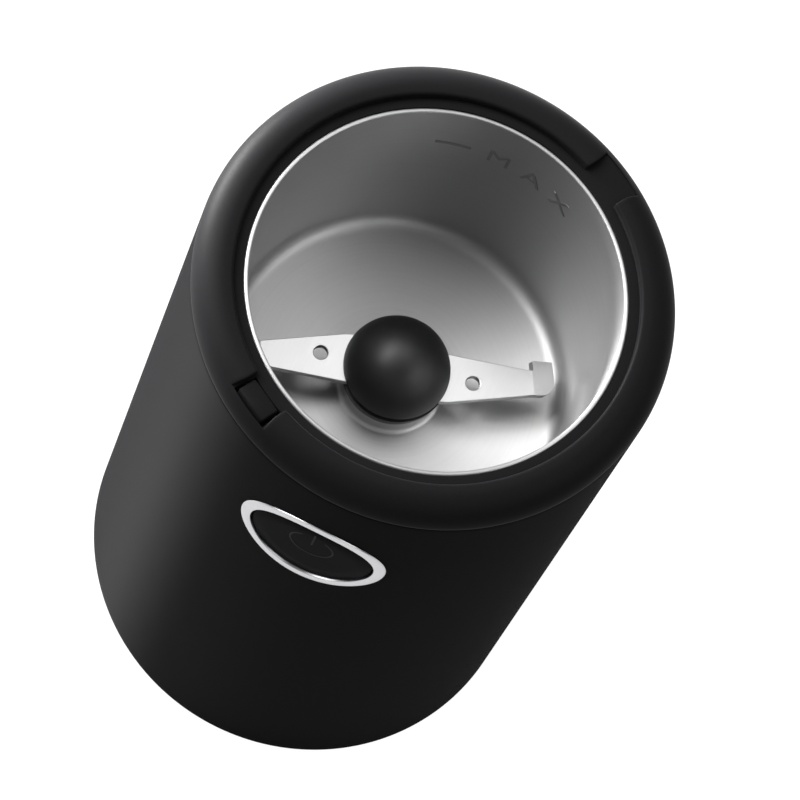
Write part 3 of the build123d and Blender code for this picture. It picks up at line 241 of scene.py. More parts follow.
SLOT_FINISH: dict[str, Finish] = {
    # Soft-touch lacquer on ABS: almost no gloss, a dusty glow where light grazes it
    "soft_black": Finish(
        "soft_touch_black_abs", "#0c0c0d", "#0f0f10", 0.62, 0.06, 0.9, 0.006,
        specular=0.001, sheen=0.018, sheen_roughness=0.4,
    ),
    # Moulded ABS with a fine spark texture: dark grey, soft wide highlights
    "collar_black": Finish(
        "moulded_black_abs", "#131314", "#171718", 0.48, 0.06, 0.7, 0.008,
        specular=0.022, sheen=0.03, sheen_roughness=0.4,
    ),
    # Polished ABS under a dull lacquer: deep black that hardly mirrors the room
    "gloss_black": Finish("gloss_black_abs", "#0e0e0f", "#111112", 0.3, 0.03, 4.0, 0.002, specular=0.002),
    # Satin phenolic knob: black with one broad soft highlight
    "ball_black": Finish("satin_black_phenolic", "#0a0a0b", "#0d0d0e", 0.46, 0.06, 0.8, 0.004, specular=0.45),
    # Moulded polypropylene: black, waxy and plain
    "inner_plastic": Finish(
        "moulded_polypropylene", "#1f1f20", "#262627", 0.5, 0.06, 1.1, 0.01, specular=0.4
    ),
    # Glass-filled nylon switch body: speckled dark grey
    "switch_plastic": Finish("glass_filled_nylon", "#2a2b2d", "#36373a", 0.48, 0.08, 0.5, 0.01),
    # Natural nylon terminal block: milky white
    "terminal_plastic": Finish("natural_nylon", "#d8d5c8", "#cdc9ba", 0.42, 0.06, 1.5, 0.01),
    # Epoxy-sealed capacitor case: clear plain yellow
    "capacitor_plastic": Finish("capacitor_case_plastic", "#d0a52c", "#c49a26", 0.38, 0.05, 1.5, 0.01),
    # Acetal switch button: slick red plastic
    "plunger_plastic": Finish("moulded_acetal", "#a3261f", "#93211b", 0.35, 0.05, 1.0, 0.005),
    # Spun and brushed stainless steel: streaks run round the bowl and stretch highlights down its wall.
    # They are drawn coarser than they are, so that they show.
    "bowl_steel": Finish(
        "spun_stainless_steel", "#b8b8b8", "#acacac", 0.44, 0.05, 0.35, 0.003, metallic=1.0,
        grain=Grain.TURNED, anisotropy=0.65, cross_grain=True,
    ),
    # Ground stainless strip: bright, with a straight lay, also drawn coarser than it is
    "blade_steel": Finish(
        "ground_stainless_strip", "#b6b6b6", "#aeaeae", 0.3, 0.05, 0.25, 0.003, metallic=1.0,
        grain=Grain.BRUSHED,
    ),
    # Ground shaft steel: fine rings round the shaft
    "shaft_steel": Finish(
        "ground_shaft_steel", "#b4b5b7", "#9fa0a2", 0.24, 0.06, 0.3, 0.002, metallic=1.0,
        grain=Grain.TURNED, anisotropy=0.3,
    ),
    # Zinc-plated screws and nuts: pale grey, slightly blue
    "screw_steel": Finish("zinc_plated_steel", "#a9acb0", "#8f9398", 0.35, 0.08, 1.2, 0.004, metallic=1.0),
    # Drawn spring wire: darker and smoother than the screws
    "spring_steel": Finish("drawn_spring_wire", "#8d8f93", "#7b7d81", 0.28, 0.05, 0.4, 0.002, metallic=1.0),
    # Silicon steel laminations: dull grey sheets stacked half a millimetre apart
    "lamination": Finish(
        "silicon_steel_laminations", "#77797c", "#4b4d50", 0.48, 0.08, 0.5, 0.02, metallic=1.0,
        grain=Grain.STACKED,
    ),
    # Satin chrome plate on plastic: silver, soft reflections
    "bright_chrome": Finish("satin_chrome_plate", "#c3c3c5", "#b8b8ba", 0.33, 0.04, 0.5, 0.002, metallic=1.0),
    # Enamelled copper wire: amber red ridges, one per turn
    "copper_wire": Finish(
        "enamelled_copper_wire", "#a2522b", "#6f2f16", 0.32, 0.06, 0.5, 0.06, metallic=0.8, grain=Grain.WOUND
    ),
    # Turned commutator copper: bright pink metal with brush tracks
    "copper_bar": Finish(
        "turned_copper", "#c27a52", "#a3623e", 0.3, 0.08, 0.4, 0.003, metallic=1.0,
        grain=Grain.TURNED, anisotropy=0.3,
    ),
    # Pressed brass sheet: warm yellow, lightly tarnished
    "brass": Finish("pressed_brass", "#b8954e", "#9a7a3a", 0.33, 0.07, 1.4, 0.004, metallic=1.0),
    # Sintered bronze: porous brown metal, damp with oil
    "bush_bronze": Finish("sintered_bronze", "#8c6a42", "#6d5030", 0.5, 0.1, 0.3, 0.02, metallic=0.9),
    # Die-cast aluminium: pale grey with a sandy skin
    "bracket_metal": Finish("die_cast_aluminium", "#9b9da0", "#888a8d", 0.5, 0.1, 0.8, 0.03, metallic=1.0),
    # Pressed carbon: soft black with a faint graphite shine
    "carbon": Finish("pressed_carbon", "#232325", "#2d2d30", 0.55, 0.1, 0.4, 0.02),
    # Moulded rubber: dull dark grey, slightly dusty
    "rubber": Finish("moulded_rubber", "#202021", "#29292a", 0.78, 0.08, 0.9, 0.02, specular=0.25, sheen=0.05),
}


def outward(shape: Shape) -> Shape:
    """Turn the faces of a shape outwards and hand it back."""
    bmesh.ops.recalc_face_normals(shape, faces=shape.faces[:])
    return shape


def tidied(shape: Shape) -> Shape:
    """Merge doubles, drop slivers and turn the faces outwards.

    Args:
        shape: the shape to tidy.

    Returns:
        The same shape.
    """
    bmesh.ops.remove_doubles(shape, verts=shape.verts[:], dist=WELD)
    bmesh.ops.dissolve_degenerate(shape, edges=shape.edges[:], dist=SLIVER)
    return outward(shape)


def moved(shape: Shape, way: Sequence[float]) -> Shape:
    """Move a whole shape and hand it back."""
    bmesh.ops.translate(shape, vec=way, verts=shape.verts[:])
    return shape


def turned(shape: Shape, degrees: float, axis: str = "Z") -> Shape:
    """Turn a whole shape about an axis through the origin and hand it back."""
    bmesh.ops.rotate(shape, verts=shape.verts[:], matrix=Matrix.Rotation(math.radians(degrees), 3, axis))
    return shape


def scaled(shape: Shape, sizes: Sequence[float]) -> Shape:
    """Scale a whole shape along the three axes and hand it back."""
    bmesh.ops.scale(shape, vec=sizes, verts=shape.verts[:])
    return shape


def thickened(shape: Shape, height: float) -> Shape:
    """Raise a flat shape into a plate.

    Args:
        shape: the flat shape, in the XY plane.
        height: thickness of the plate.

    Returns:
        The same shape.
    """
    grown = bmesh.ops.extrude_face_region(shape, geom=shape.faces[:])
    tops = [part for part in grown["geom"] if isinstance(part, bmesh.types.BMVert)]
    bmesh.ops.translate(shape, vec=UP * height, verts=tops)
    return shape


def meshed(name: str, shape: Shape) -> bpy.types.Mesh:
    """Make a mesh of a shape.

    Args:
        name: the mesh's name.
        shape: the shape, which is used up.

    Returns:
        The mesh.
    """
    mesh = bpy.data.meshes.new(name)
    shape.to_mesh(mesh)
    shape.free()
    return mesh


def linked(name: str, data: bpy.types.ID) -> bpy.types.Object:
    """Make an object and link it to the scene.

    Args:
        name: the object's name.
        data: its mesh, curve, lamp or camera.

    Returns:
        The object.
    """
    made = bpy.data.objects.new(name, data)
    bpy.context.scene.collection.objects.link(made)
    return made


def settled(holder: bpy.types.Object) -> Shape:
    """Read an object's final shape, with its modifiers.

    Args:
        holder: the object, which stays.

    Returns:
        The shape.
    """
    bpy.context.view_layer.update()
    final = holder.evaluated_get(bpy.context.evaluated_depsgraph_get())
    mesh = bpy.data.meshes.new_from_object(final)
    shape: Shape = bmesh.new()
    shape.from_mesh(mesh)
    bpy.data.meshes.remove(mesh)
    return shape


def joined(shapes: Iterable[Shape]) -> Shape:
    """Put several shapes into one.

    Args:
        shapes: the shapes, which are used up.

    Returns:
        One shape that holds them all.
    """
    whole: Shape = bmesh.new()
    for shape in shapes:
        carrier = meshed("carrier", shape)
        whole.from_mesh(carrier)
        bpy.data.meshes.remove(carrier)
    return whole


def carved(shape: Shape, cutters: Iterable[Shape]) -> Shape:
    """Cut closed shapes out of a closed shape.

    Args:
        shape: the shape to cut, which is used up.
        cutters: the shapes to take away, which are used up.

    Returns:
        What is left.
    """
    blank, *tools = [linked("blank", meshed("blank", part)) for part in (shape, *cutters)]
    for tool in tools:
        cut = blank.modifiers.new("cut", "BOOLEAN")
        cut.operation = "DIFFERENCE"
        cut.solver = "EXACT"
        cut.object = tool
    left = settled(blank)
    for holder in (blank, *tools):
        mesh = holder.data
        bpy.data.objects.remove(holder)
        bpy.data.meshes.remove(mesh)
    return left


def block(low: Sequence[float], high: Sequence[float], rounding: float) -> Shape:
    """Make a box with rounded edges.

    Args:
        low: lowest corner.
        high: highest corner.
        rounding: size of the round on every edge.

    Returns:
        The box.
    """
    shape: Shape = bmesh.new()
    bmesh.ops.create_cube(shape, size=1.0)
    scaled(shape, Vector(high) - Vector(low))
    moved(shape, (Vector(low) + Vector(high)) / 2)
    bmesh.ops.bevel(
        shape, geom=shape.edges[:], offset=rounding, affect="EDGES", segments=3, profile=0.5, material=-1
    )
    return outward(shape)


class Section:
    """A half section, drawn as a wire in the XZ plane and turned round the upright axis."""

    def __init__(self, radius: float, height: float, rounding: float = 0.0) -> None:
        """Start the section at a corner.

        Args:
            radius: distance from the axis in millimetres.
            height: height above the floor.
            rounding: length that the corner's round takes from each side.
        """
        self.shape: Shape = bmesh.new()
        self.rounded: list[tuple[bmesh.types.BMVert, float]] = []
        self.last: Optional[bmesh.types.BMVert] = None
        self.first = self.to(radius, height, rounding).last

    def to(self, radius: float, height: float, rounding: float = 0.0) -> "Section":
        """Draw a straight line to a corner.

        Args:
            radius: distance from the axis.
            height: height above the floor.
            rounding: length that the corner's round takes from each side.

        Returns:
            The section itself.
        """
        corner = self.shape.verts.new((radius, 0.0, height))
        if self.last:
            self.shape.edges.new((self.last, corner))
        if rounding:
            self.rounded.append((corner, rounding))
        self.last = corner
        return self

    def arc(self, radius: float, height: float, degrees: float, steps: int) -> "Section":
        """Draw an arc from the last corner round a centre.

        Args:
            radius: the centre's distance from the axis.
            height: the centre's height.
            degrees: angle of the arc, positive from upright towards outwards.
            steps: number of straight pieces.

        Returns:
            The section itself.
        """
        spun = bmesh.ops.spin(
            self.shape, geom=[self.last], cent=(radius, 0.0, height), axis=(0.0, 1.0, 0.0),
            angle=math.radians(degrees), steps=steps,
        )
        self.last = next(part for part in spun["geom_last"] if isinstance(part, bmesh.types.BMVert))
        return self

    def close(self) -> "Section":
        """Join the last corner to the first."""
        self.shape.edges.new((self.last, self.first))
        return self

    def turn(self, steps: int, start: float = 0.0, sweep: float = 360.0) -> Shape:
        """Round the marked corners and turn the section about the upright axis.

        Args:
            steps: number of columns.
            start: angle of the first column in degrees.
            sweep: angle to turn through in degrees.

        Returns:
            The turned shape, with its faces outwards where it is a whole turn.
        """
        shape = self.shape
        for corner, rounding in self.rounded:
            bmesh.ops.bevel(
                shape, geom=[corner], offset=rounding, affect="VERTICES", segments=6, profile=0.5, material=-1
            )
        turned(shape, start)
        whole = sweep >= 360.0
        bmesh.ops.spin(
            shape, geom=shape.verts[:] + shape.edges[:], cent=(0.0, 0.0, 0.0), axis=UP,
            angle=math.radians(sweep), steps=steps, use_merge=whole,
        )
        return tidied(shape) if whole else shape


@dataclass(frozen=True)
class Pegs:
    """Upright round pegs with a rounded foot, set on a circle."""

    radius: float
    low: float
    high: float
    rounding: float
    circle: float
    angles: tuple[float, ...]
    steps: int

    def shapes(self) -> list[Shape]:
        """Turn the pegs and set each at its angle.

        Returns:
            One shape per peg.
        """
        pegs = []
        for angle in self.angles:
            place = Matrix.Rotation(math.radians(angle), 3, "Z") @ Vector((self.circle, 0.0, 0.0))
            drawn = Section(0.0, self.low).to(self.radius, self.low, self.rounding)
            drawn.to(self.radius, self.high).to(0.0, self.high)
            pegs.append(moved(drawn.turn(self.steps), place))
        return pegs


@dataclass(frozen=True)
class Piece:
    """A named piece of the object: its body, its finish and the nodes that it stands for."""

    name: str
    body: Body
    slot: str
    replaces: tuple[str, ...] = ()
    finish: Optional[Finish] = None
    crease: float = 38.0

    def place(self, shape: Shape) -> bpy.types.Object:
        """Turn a shape in millimetres into a dressed object on its body.

        Args:
            shape: the finished shape, which is used up.

        Returns:
            The object, at the origin.
        """
        for face in shape.faces:
            face.smooth = True
        mesh = meshed(self.name, scaled(shape, (MM, MM, MM)))
        mesh.set_sharp_from_angle(angle=math.radians(self.crease))
        finish = self.finish or SLOT_FINISH[self.slot]
        mesh.materials.append(finish.material())
        piece = linked(self.name, mesh)
        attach(piece, self.body.value)
        if self.replaces:
            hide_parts(*self.replaces)
        log.info("%s: %d faces on %s, %s", self.name, len(mesh.polygons), self.body.value, finish.name)
        return piece


@dataclass
class BodyShell:
    """The tall drafted body with its openings for the button and the cord gland."""

    low: float = 2.0
    high: float = 150.8
    bottom_radius: float = 43.65
    top_radius: float = 43.0
    wall: float = 2.2
    foot_round: float = 0.4
    seam_round: float = 0.25
    inner_round: float = 0.2
    button_height: float = 123.3
    button_hole: Pair = (12.65, 11.8)
    gland_height: float = 20.0
    gland_hole: float = 5.45
    cutter_reach: float = 50.0
    cutter_length: float = 40.0
    rows: int = 74

    def radius(self, height: float) -> float:
        """Outer radius at a height."""
        share = (height - self.low) / (self.high - self.low)
        return self.bottom_radius + (self.top_radius - self.bottom_radius) * share

    def skin(self, across: float, height: float, depth: float) -> Vector:
        """Find a point at the front, under or over the body's surface.

        Args:
            across: distance to the right of the middle.
            height: height above the floor.
            depth: distance under the surface, or over it where negative.

        Returns:
            The point.
        """
        reach = self.radius(height) - depth
        return Vector((across, -math.sqrt(reach**2 - across**2), height))

    def cutters(self) -> list[Shape]:
        """Make the bars that cut the button's opening at the front and the gland's at the back.

        Returns:
            Both bars.
        """
        front = Vector((0.0, -self.cutter_reach, self.button_height))
        back = Vector((0.0, self.cutter_reach, self.gland_height))
        lying = Matrix.Rotation(math.pi / 2, 4, "X")
        bars = []
        for place, (wide, tall), segments in (
            (front, self.button_hole, 128), (back, (self.gland_hole, self.gland_hole), 64)
        ):
            bar: Shape = bmesh.new()
            bmesh.ops.create_cone(
                bar, cap_ends=True, segments=segments, radius1=1.0, radius2=1.0, depth=self.cutter_length,
                matrix=Matrix.Translation(place) @ Matrix.Diagonal((wide, 1.0, tall, 1.0)) @ lying,
            )
            bars.append(bar)
        return bars

    def build(self) -> None:
        """Turn the tube, cut its two openings and place it."""
        section = Section(self.bottom_radius - self.wall, self.low, self.inner_round)
        section.to(self.bottom_radius, self.low, self.foot_round)
        row = (self.high - self.low) / self.rows
        for level in range(1, self.rows):
            height = self.low + row * level
            section.to(self.radius(height), height)
        section.to(self.top_radius, self.high, self.seam_round)
        section.to(self.top_radius - self.wall, self.high, self.inner_round)
        tube = section.close().turn(steps=288)
        shell = carved(tube, self.cutters())
        Piece("body_shell", Body.HOUSING, "soft_black", ("outer_housing",)).place(shell)


@dataclass
class Collar:
    """The moulded top ring: lid ledge, low crest, round shoulder and two notches."""

    ledge: float = 154.0
    crest: float = 155.6
    seat_radius: float = 36.0
    inner_round: float = 0.6
    crest_radius: float = 37.6
    brim_radius: float = 43.0
    brim_height: float = 151.3
    seam: float = 150.8
    seam_round: float = 0.25
    under: float = 150.5
    skirt: Triple = (40.5, 39.3, 147.0)
    lip_seat: Triple = (34.18, 33.8, 153.02)
    notch_angles: Pair = (60.0, 240.0)
    notch_half: float = 4.15
    notch_end: float = 41.0
    pit_half: float = 3.8
    pit_start: float = 36.5
    pit_floor: float = 150.6
    edge_round: float = 0.22
    edge_rise: Pair = (0.3, 0.6)
    stretch_gap: float = 0.002
    fade: float = 5.0
    still: float = 0.5
    plain_columns: int = 168
    notch_columns: int = 12
    pit_columns: int = 11

    def shoulder_centre(self) -> Pair:
        """Work out the shoulder's round from the crest and the brim.

        Returns:
            Its radius and the height of its centre.
        """
        out, drop = self.brim_radius - self.crest_radius, self.crest - self.brim_height
        size = (out**2 + drop**2) / (2 * drop)
        return size, self.crest - size

    def section(self, notched: bool, pit: bool = False) -> Section:
        """Draw the half section at a plain place, in a notch or in the pit of a notch.

        Args:
            notched: leave the crest out.
            pit: sink the floor under the sprung block.

        Returns:
            The closed section.
        """
        size, level = self.shoulder_centre()
        cross = math.degrees(math.asin((self.notch_end - self.crest_radius) / size))
        end = math.degrees(math.asin((self.brim_radius - self.crest_radius) / size))
        drawn = Section(self.seat_radius, self.ledge)
        if notched:
            if pit:
                drawn.to(self.pit_start, self.ledge).to(self.pit_start, self.pit_floor)
                drawn.to(self.notch_end, self.pit_floor)
            drawn.to(self.notch_end, self.ledge)
            drawn.to(self.notch_end, level + size * math.cos(math.radians(cross)))
        else:
            shoulder = self.crest - self.inner_round
            drawn.to(self.seat_radius, shoulder)
            drawn.arc(self.seat_radius + self.inner_round, shoulder, 90.0, steps=5)
            drawn.to(self.crest_radius, self.crest).arc(self.crest_radius, level, cross, steps=10)
        drawn.arc(self.crest_radius, level, end - cross, steps=12)
        drawn.to(self.brim_radius, self.seam + self.seam_round)
        drawn.to(self.brim_radius - self.seam_round, self.seam)
        outer, inner, foot = self.skirt
        drawn.to(outer, self.seam).to(outer, foot).to(inner, foot).to(inner, self.under)
        lip_outer, lip_inner, lip_level = self.lip_seat
        drawn.to(lip_inner, self.under).to(lip_inner, lip_level).to(lip_outer, lip_level)
        return drawn.to(lip_outer, self.ledge).close()

    def build(self) -> None:
        """Turn the plain and the notched stretches, close the steps between them and round their edges."""
        middle = (self.seat_radius + self.notch_end) / 2
        half = math.degrees(math.asin(self.notch_half / middle))
        pit = math.degrees(math.asin(self.pit_half / middle))
        first, second = self.notch_angles
        plain = 180.0 - 2 * half
        ring = joined([
            self.section(False).turn(self.plain_columns, first + half, plain),
            self.section(False).turn(self.plain_columns, second + half, plain),
            self.section(True).turn(self.notch_columns, first - half, 2 * half),
            self.section(True).turn(1, second - half, half - pit),
            self.section(True, pit=True).turn(self.pit_columns, second - pit, 2 * pit),
            self.section(True).turn(1, second + pit, half - pit),
        ])
        bmesh.ops.remove_doubles(ring, verts=ring.verts[:], dist=self.stretch_gap)
        rims = [edge for edge in ring.edges if edge.is_boundary]
        steps = bmesh.ops.holes_fill(ring, edges=rims, sides=0)["faces"]
        self.square_notches(outward(ring), half)
        edges = {edge for face in steps for edge in face.edges if self.on_crest(edge)}
        bmesh.ops.bevel(
            ring, geom=list(edges), offset=self.edge_round, affect="EDGES", segments=3, profile=0.5,
            material=-1, clamp_overlap=True,
        )
        Piece("top_ring", Body.HOUSING, "collar_black", ("top_collar",)).place(ring)

    def on_crest(self, edge: bmesh.types.BMEdge) -> bool:
        """Tell whether an edge lies along the crest's outline over a notch."""
        low, high = sorted(vert.co.z - self.ledge for vert in edge.verts)
        return low > self.edge_rise[0] or high > self.edge_rise[1]

    def square_notches(self, ring: Shape, half: float) -> None:
        """Move the columns beside each notch so that its sides run parallel.

        Args:
            ring: the collar.
            half: half the angle of a notch in degrees.
        """
        for angle in self.notch_angles:
            for vert in ring.verts:
                reach = math.hypot(vert.co.x, vert.co.y)
                turn = math.degrees(math.atan2(vert.co.y, vert.co.x)) - angle
                turn = (turn + 180.0) % 360.0 - 180.0
                share = 1.0 - abs(abs(turn) - half) / self.fade
                if share > 0.0 and abs(turn) > self.still:
                    side = math.degrees(math.asin(self.notch_half / reach))
                    shift = math.copysign((side - half) * share, turn)
                    vert.co.xy = Matrix.Rotation(math.radians(shift), 2) @ vert.co.xy


@dataclass
class SteelBowl:
    """The drawn grinding bowl: curled lip, straight wall, round foot and a raised middle."""

    mouth: float = 33.25
    foot: float = 32.42
    floor: float = 104.0
    lip_top: float = 153.9
    lip_size: float = 0.88
    lip_rounds: Pair = (0.286, 0.396)
    sheet: float = 0.5
    fillet: float = 3.0
    boss_top: float = 106.8
    boss_radius: float = 8.9
    boss_foot: float = 9.5
    boss_rounds: Pair = (0.9, 0.8)
    boss_under_rounds: Pair = (0.5, 0.3)
    hole: float = 6.5
    hole_rounds: Pair = (0.15, 0.1)
    studs: Pegs = Pegs(
        radius=1.5, low=94.0, high=103.5, rounding=0.3, circle=28.5, angles=(90.0, 210.0, 330.0), steps=24
    )
    mark_height: float = 141.6
    mark_relief: float = 0.16
    mark_root: float = 0.1
    letter_size: float = 4.4
    capital_share: float = 0.69
    letter_spacing: float = 1.7
    word_angle: float = 79.0
    line_angle: float = 105.5
    line_length: float = 6.6
    line_width: float = 0.8

    def wall_radius(self, height: float) -> float:
        """Inner radius of the wall at a height."""
        level = self.lip_top - self.lip_size / 2
        return self.foot + (self.mouth - self.foot) * (height - self.floor) / (level - self.floor)

    def build(self) -> None:
        """Turn the bowl with its studs, then raise the fill mark on its wall."""
        curl = self.lip_top - self.lip_size
        brim = self.mouth + self.lip_size
        under = self.floor - self.sheet
        boss_under = self.boss_top - self.sheet
        inner_lip, outer_lip = self.lip_rounds
        drawn = Section(self.mouth, self.lip_top, inner_lip).to(brim, self.lip_top, outer_lip)
        drawn.to(brim, curl, outer_lip).to(self.mouth + self.sheet, curl)
        drawn.to(self.foot + self.sheet, under, self.fillet + self.sheet)
        drawn.to(self.boss_foot - self.sheet, under, self.boss_under_rounds[1])
        drawn.to(self.boss_radius - self.sheet, boss_under, self.boss_under_rounds[0])
        drawn.to(self.hole, boss_under, self.hole_rounds[1]).to(self.hole, self.boss_top, self.hole_rounds[0])
        drawn.to(self.boss_radius, self.boss_top, self.boss_rounds[0])
        drawn.to(self.boss_foot, self.floor, self.boss_rounds[1]).to(self.foot, self.floor, self.fillet)
        bowl = joined([drawn.close().turn(steps=288), *self.studs.shapes()])
        Piece("steel_bowl", Body.HOUSING, "bowl_steel", ("grinding_bowl",)).place(bowl)
        mark = joined([self.word("MAX"), self.fill_line()])
        # The fill mark wears the darker steel, painted shade on its raised letters
        Piece("fill_mark", Body.HOUSING, "bowl_steel", finish=PAINTED_SHADE_MARK_STEEL).place(mark)

    def raised(self, shape: Shape, angle: float) -> Shape:
        """Thicken a flat shape into a low relief on the wall.

        Args:
            shape: shape in the XY plane, X to the right and Y up.
            angle: angle of its middle in degrees.

        Returns:
            The same shape, raised on the wall.
        """
        for vert in thickened(shape, self.mark_relief + self.mark_root).verts:
            across, rise, depth = vert.co
            height = self.mark_height + rise
            reach = self.wall_radius(height) + self.mark_root - depth
            turn = math.radians(angle) - across / self.wall_radius(height)
            vert.co = (reach * math.cos(turn), reach * math.sin(turn), height)
        return tidied(shape)

    def word(self, letters: str) -> Shape:
        """Make a plain word on the wall.

        Args:
            letters: the word.

        Returns:
            The raised letters.
        """
        curve = bpy.data.curves.new("word", "FONT")
        curve.body = letters
        curve.size = self.letter_size / self.capital_share
        curve.align_x = "CENTER"
        curve.align_y = "CENTER"
        curve.space_character = self.letter_spacing
        holder = linked("word", curve)
        shape = settled(holder)
        bpy.data.objects.remove(holder)
        bpy.data.curves.remove(curve)
        bmesh.ops.remove_doubles(shape, verts=shape.verts[:], dist=TOUCH)
        return self.raised(shape, self.word_angle)

    def fill_line(self) -> Shape:
        """Make the short line beside the word.

        Returns:
            The raised line.
        """
        shape: Shape = bmesh.new()
        bmesh.ops.create_grid(shape, x_segments=12, y_segments=1, size=0.5)
        return self.raised(scaled(shape, (self.line_length, self.line_width, 1.0)), self.line_angle)


@dataclass
class Blade:
    """The ground steel blade with its tips bent down, under a two-part ball."""

    low: float = 110.6
    thickness: float = 1.4
    angle: float = 15.75
    near: Triple = (24.1, 4.7, 0.0)
    near_relief: Triple = (-0.6, 0.0, 0.0)
    far: Triple = (25.42, 0.0, 0.0)
    root: Triple = (0.0, 4.6, 0.0)
    taper: Triple = (9.4, -4.85, 0.0)
    taper_round: float = 1.5
    tip_length: float = 5.4
    ear: float = 1.9
    ear_start: float = 1.0
    ear_rounds: Triple = (0.25, 0.3, 0.25)
    tip_round: float = 3.4
    heel: float = 0.3
    heel_round: float = 0.5
    bend: float = 22.0
    bend_run: float = 0.6
    bend_slack: float = 0.002
    hole_radius: float = 1.35
    hole_place: float = 14.25
    shaft_hole: float = 3.05
    edge_round: float = 0.12
    edge_angle: float = 60.0
    edge_level: float = 0.01
    ball_radius: float = 10.0
    ball_middle: float = 110.9
    ball_gap: float = 0.02
    ball_edge: float = 0.15
    hub_low: float = 107.2
    bore_top: float = 117.05

    def tip_axes(self) -> tuple[Vector, Vector, Vector]:
        """Work out how a tip lies.

        Returns:
            Start of its bend line, the way along that line and the way out from it.
        """
        near = Vector(self.near)
        along = (Vector(self.far) - near).normalized()
        return near, along, UP.cross(along)

    def outline(self) -> list[tuple[Vector, float]]:
        """Lay out one arm with its tip flat.

        Returns:
            The corners in order, each with its rounding.
        """
        near, along, out = self.tip_axes()
        far = Vector(self.far)
        line = (far - near).length
        tip = [
            (0.0, self.ear_start, self.ear_rounds[0]),
            (-self.ear, self.ear_start, self.ear_rounds[1]),
            (-self.ear, self.tip_length, self.ear_rounds[2]),
            (line, self.tip_length, self.tip_round),
            (line, self.heel, self.heel_round),
        ]
        corners = [(Vector(self.root), 0.0), (near + Vector(self.near_relief), 0.0)]
        corners += [(near + along * x + out * y, rounding) for x, y, rounding in tip]
        return corners + [(far, 0.0), (Vector(self.taper), self.taper_round)]

    def flat(self) -> Shape:
        """Cut the flat blank with its holes.

        Returns:
            The blank, without thickness.
        """
        shape: Shape = bmesh.new()
        corners = self.outline()
        corners += [(HALF_TURN @ point, rounding) for point, rounding in corners]
        verts = [shape.verts.new(point) for point, _ in corners]
        for index, vert in enumerate(verts):
            shape.edges.new((verts[index - 1], vert))
        for vert, (_, rounding) in zip(verts, corners):
            if rounding:
                bmesh.ops.bevel(
                    shape, geom=[vert], offset=rounding, affect="VERTICES", segments=5, profile=0.5,
                    material=-1,
                )
        for place, size, segments in (
            (0.0, self.shaft_hole, 48),
            (self.hole_place, self.hole_radius, 40),
            (-self.hole_place, self.hole_radius, 40),
        ):
            bmesh.ops.create_circle(
                shape, segments=segments, radius=size, matrix=Matrix.Translation((place, 0.0, 0.0))
            )
        bmesh.ops.triangle_fill(shape, use_beauty=True, use_dissolve=False, edges=shape.edges[:])
        return shape

    def on_rim(self, edge: bmesh.types.BMEdge) -> bool:
        """Tell whether an edge runs level along the rim of the flat plate."""
        sharp = edge.is_manifold and abs(edge.calc_face_angle()) > math.radians(self.edge_angle)
        return sharp and abs(edge.verts[0].co.z - edge.verts[1].co.z) < self.edge_level

    def blade(self) -> Shape:
        """Thicken the blank, ease its edges and bend its tips.

        Returns:
            The blade in its place.
        """
        shape = self.flat()
        near, along, out = self.tip_axes()
        turns = (Matrix.Identity(3), HALF_TURN)
        for turn in turns:
            for run in (0.0, self.bend_run):
                bmesh.ops.bisect_plane(
                    shape, geom=shape.verts[:] + shape.edges[:] + shape.faces[:],
                    plane_co=turn @ (near + out * run), plane_no=turn @ out, dist=TOUCH,
                )
        outward(thickened(shape, self.thickness))
        rims = [edge for edge in shape.edges if self.on_rim(edge)]
        bmesh.ops.bevel(
            shape, geom=rims, offset=self.edge_round, affect="EDGES", segments=2, profile=0.5, material=-1
        )
        for turn in turns:
            self.bend_tip(shape, turn @ near, turn @ along, turn @ out)
        return moved(turned(shape, self.angle), UP * self.low)

    def bend_tip(self, shape: Shape, near: Vector, along: Vector, out: Vector) -> None:
        """Bend one tip down in two short steps.

        Args:
            shape: the blade, lying flat.
            near: a point of the bend line.
            along: the way along the bend line.
            out: the way out from it.
        """
        reach = {vert: (vert.co - near).dot(out) for vert in shape.verts}
        bend = Matrix.Rotation(math.radians(-self.bend / 2), 3, along)
        for run in (self.bend_run, 0.0):
            bent = [vert for vert, length in reach.items() if length > run + self.bend_slack]
            bmesh.ops.rotate(shape, cent=near + out * run + UP * self.thickness, verts=bent, matrix=bend)

    def cap(self) -> Shape:
        """Turn the upper part of the ball.

        Returns:
            The cap, bored for the shaft.
        """
        top = self.low + self.thickness
        drop = math.degrees(math.acos((top + self.ball_gap - self.ball_middle) / self.ball_radius))
        drawn = Section(0.0, self.ball_middle + self.ball_radius).arc(0.0, self.ball_middle, drop, steps=40)
        drawn.to(drawn.last.co.x - self.ball_edge, top).to(self.shaft_hole, top)
        return drawn.to(self.shaft_hole, self.bore_top).to(0.0, self.bore_top).turn(steps=128)

    def hub(self) -> Shape:
        """Turn the lower part of the ball.

        Returns:
            The hub, bored for the shaft.
        """
        start = math.acos((self.low - self.ball_gap - self.ball_middle) / self.ball_radius)
        end = math.acos((self.hub_low - self.ball_middle) / self.ball_radius)
        rim = self.ball_radius * math.sin(start)
        drawn = Section(rim, self.low - self.ball_gap)
        drawn.arc(0.0, self.ball_middle, math.degrees(end - start), steps=14)
        drawn.to(self.shaft_hole, self.hub_low).to(self.shaft_hole, self.low)
        return drawn.to(rim - self.ball_edge, self.low).close().turn(steps=128)

    def build(self) -> None:
        """Place the blade and both parts of the ball."""
        Piece("steel_blade", Body.ROTOR, "blade_steel", ("blade",), crease=12.0).place(self.blade())
        Piece("ball_cap", Body.ROTOR, "ball_black", ("blade_cap",)).place(self.cap())
        Piece("ball_hub", Body.ROTOR, "ball_black", ("blade_hub",)).place(self.hub())


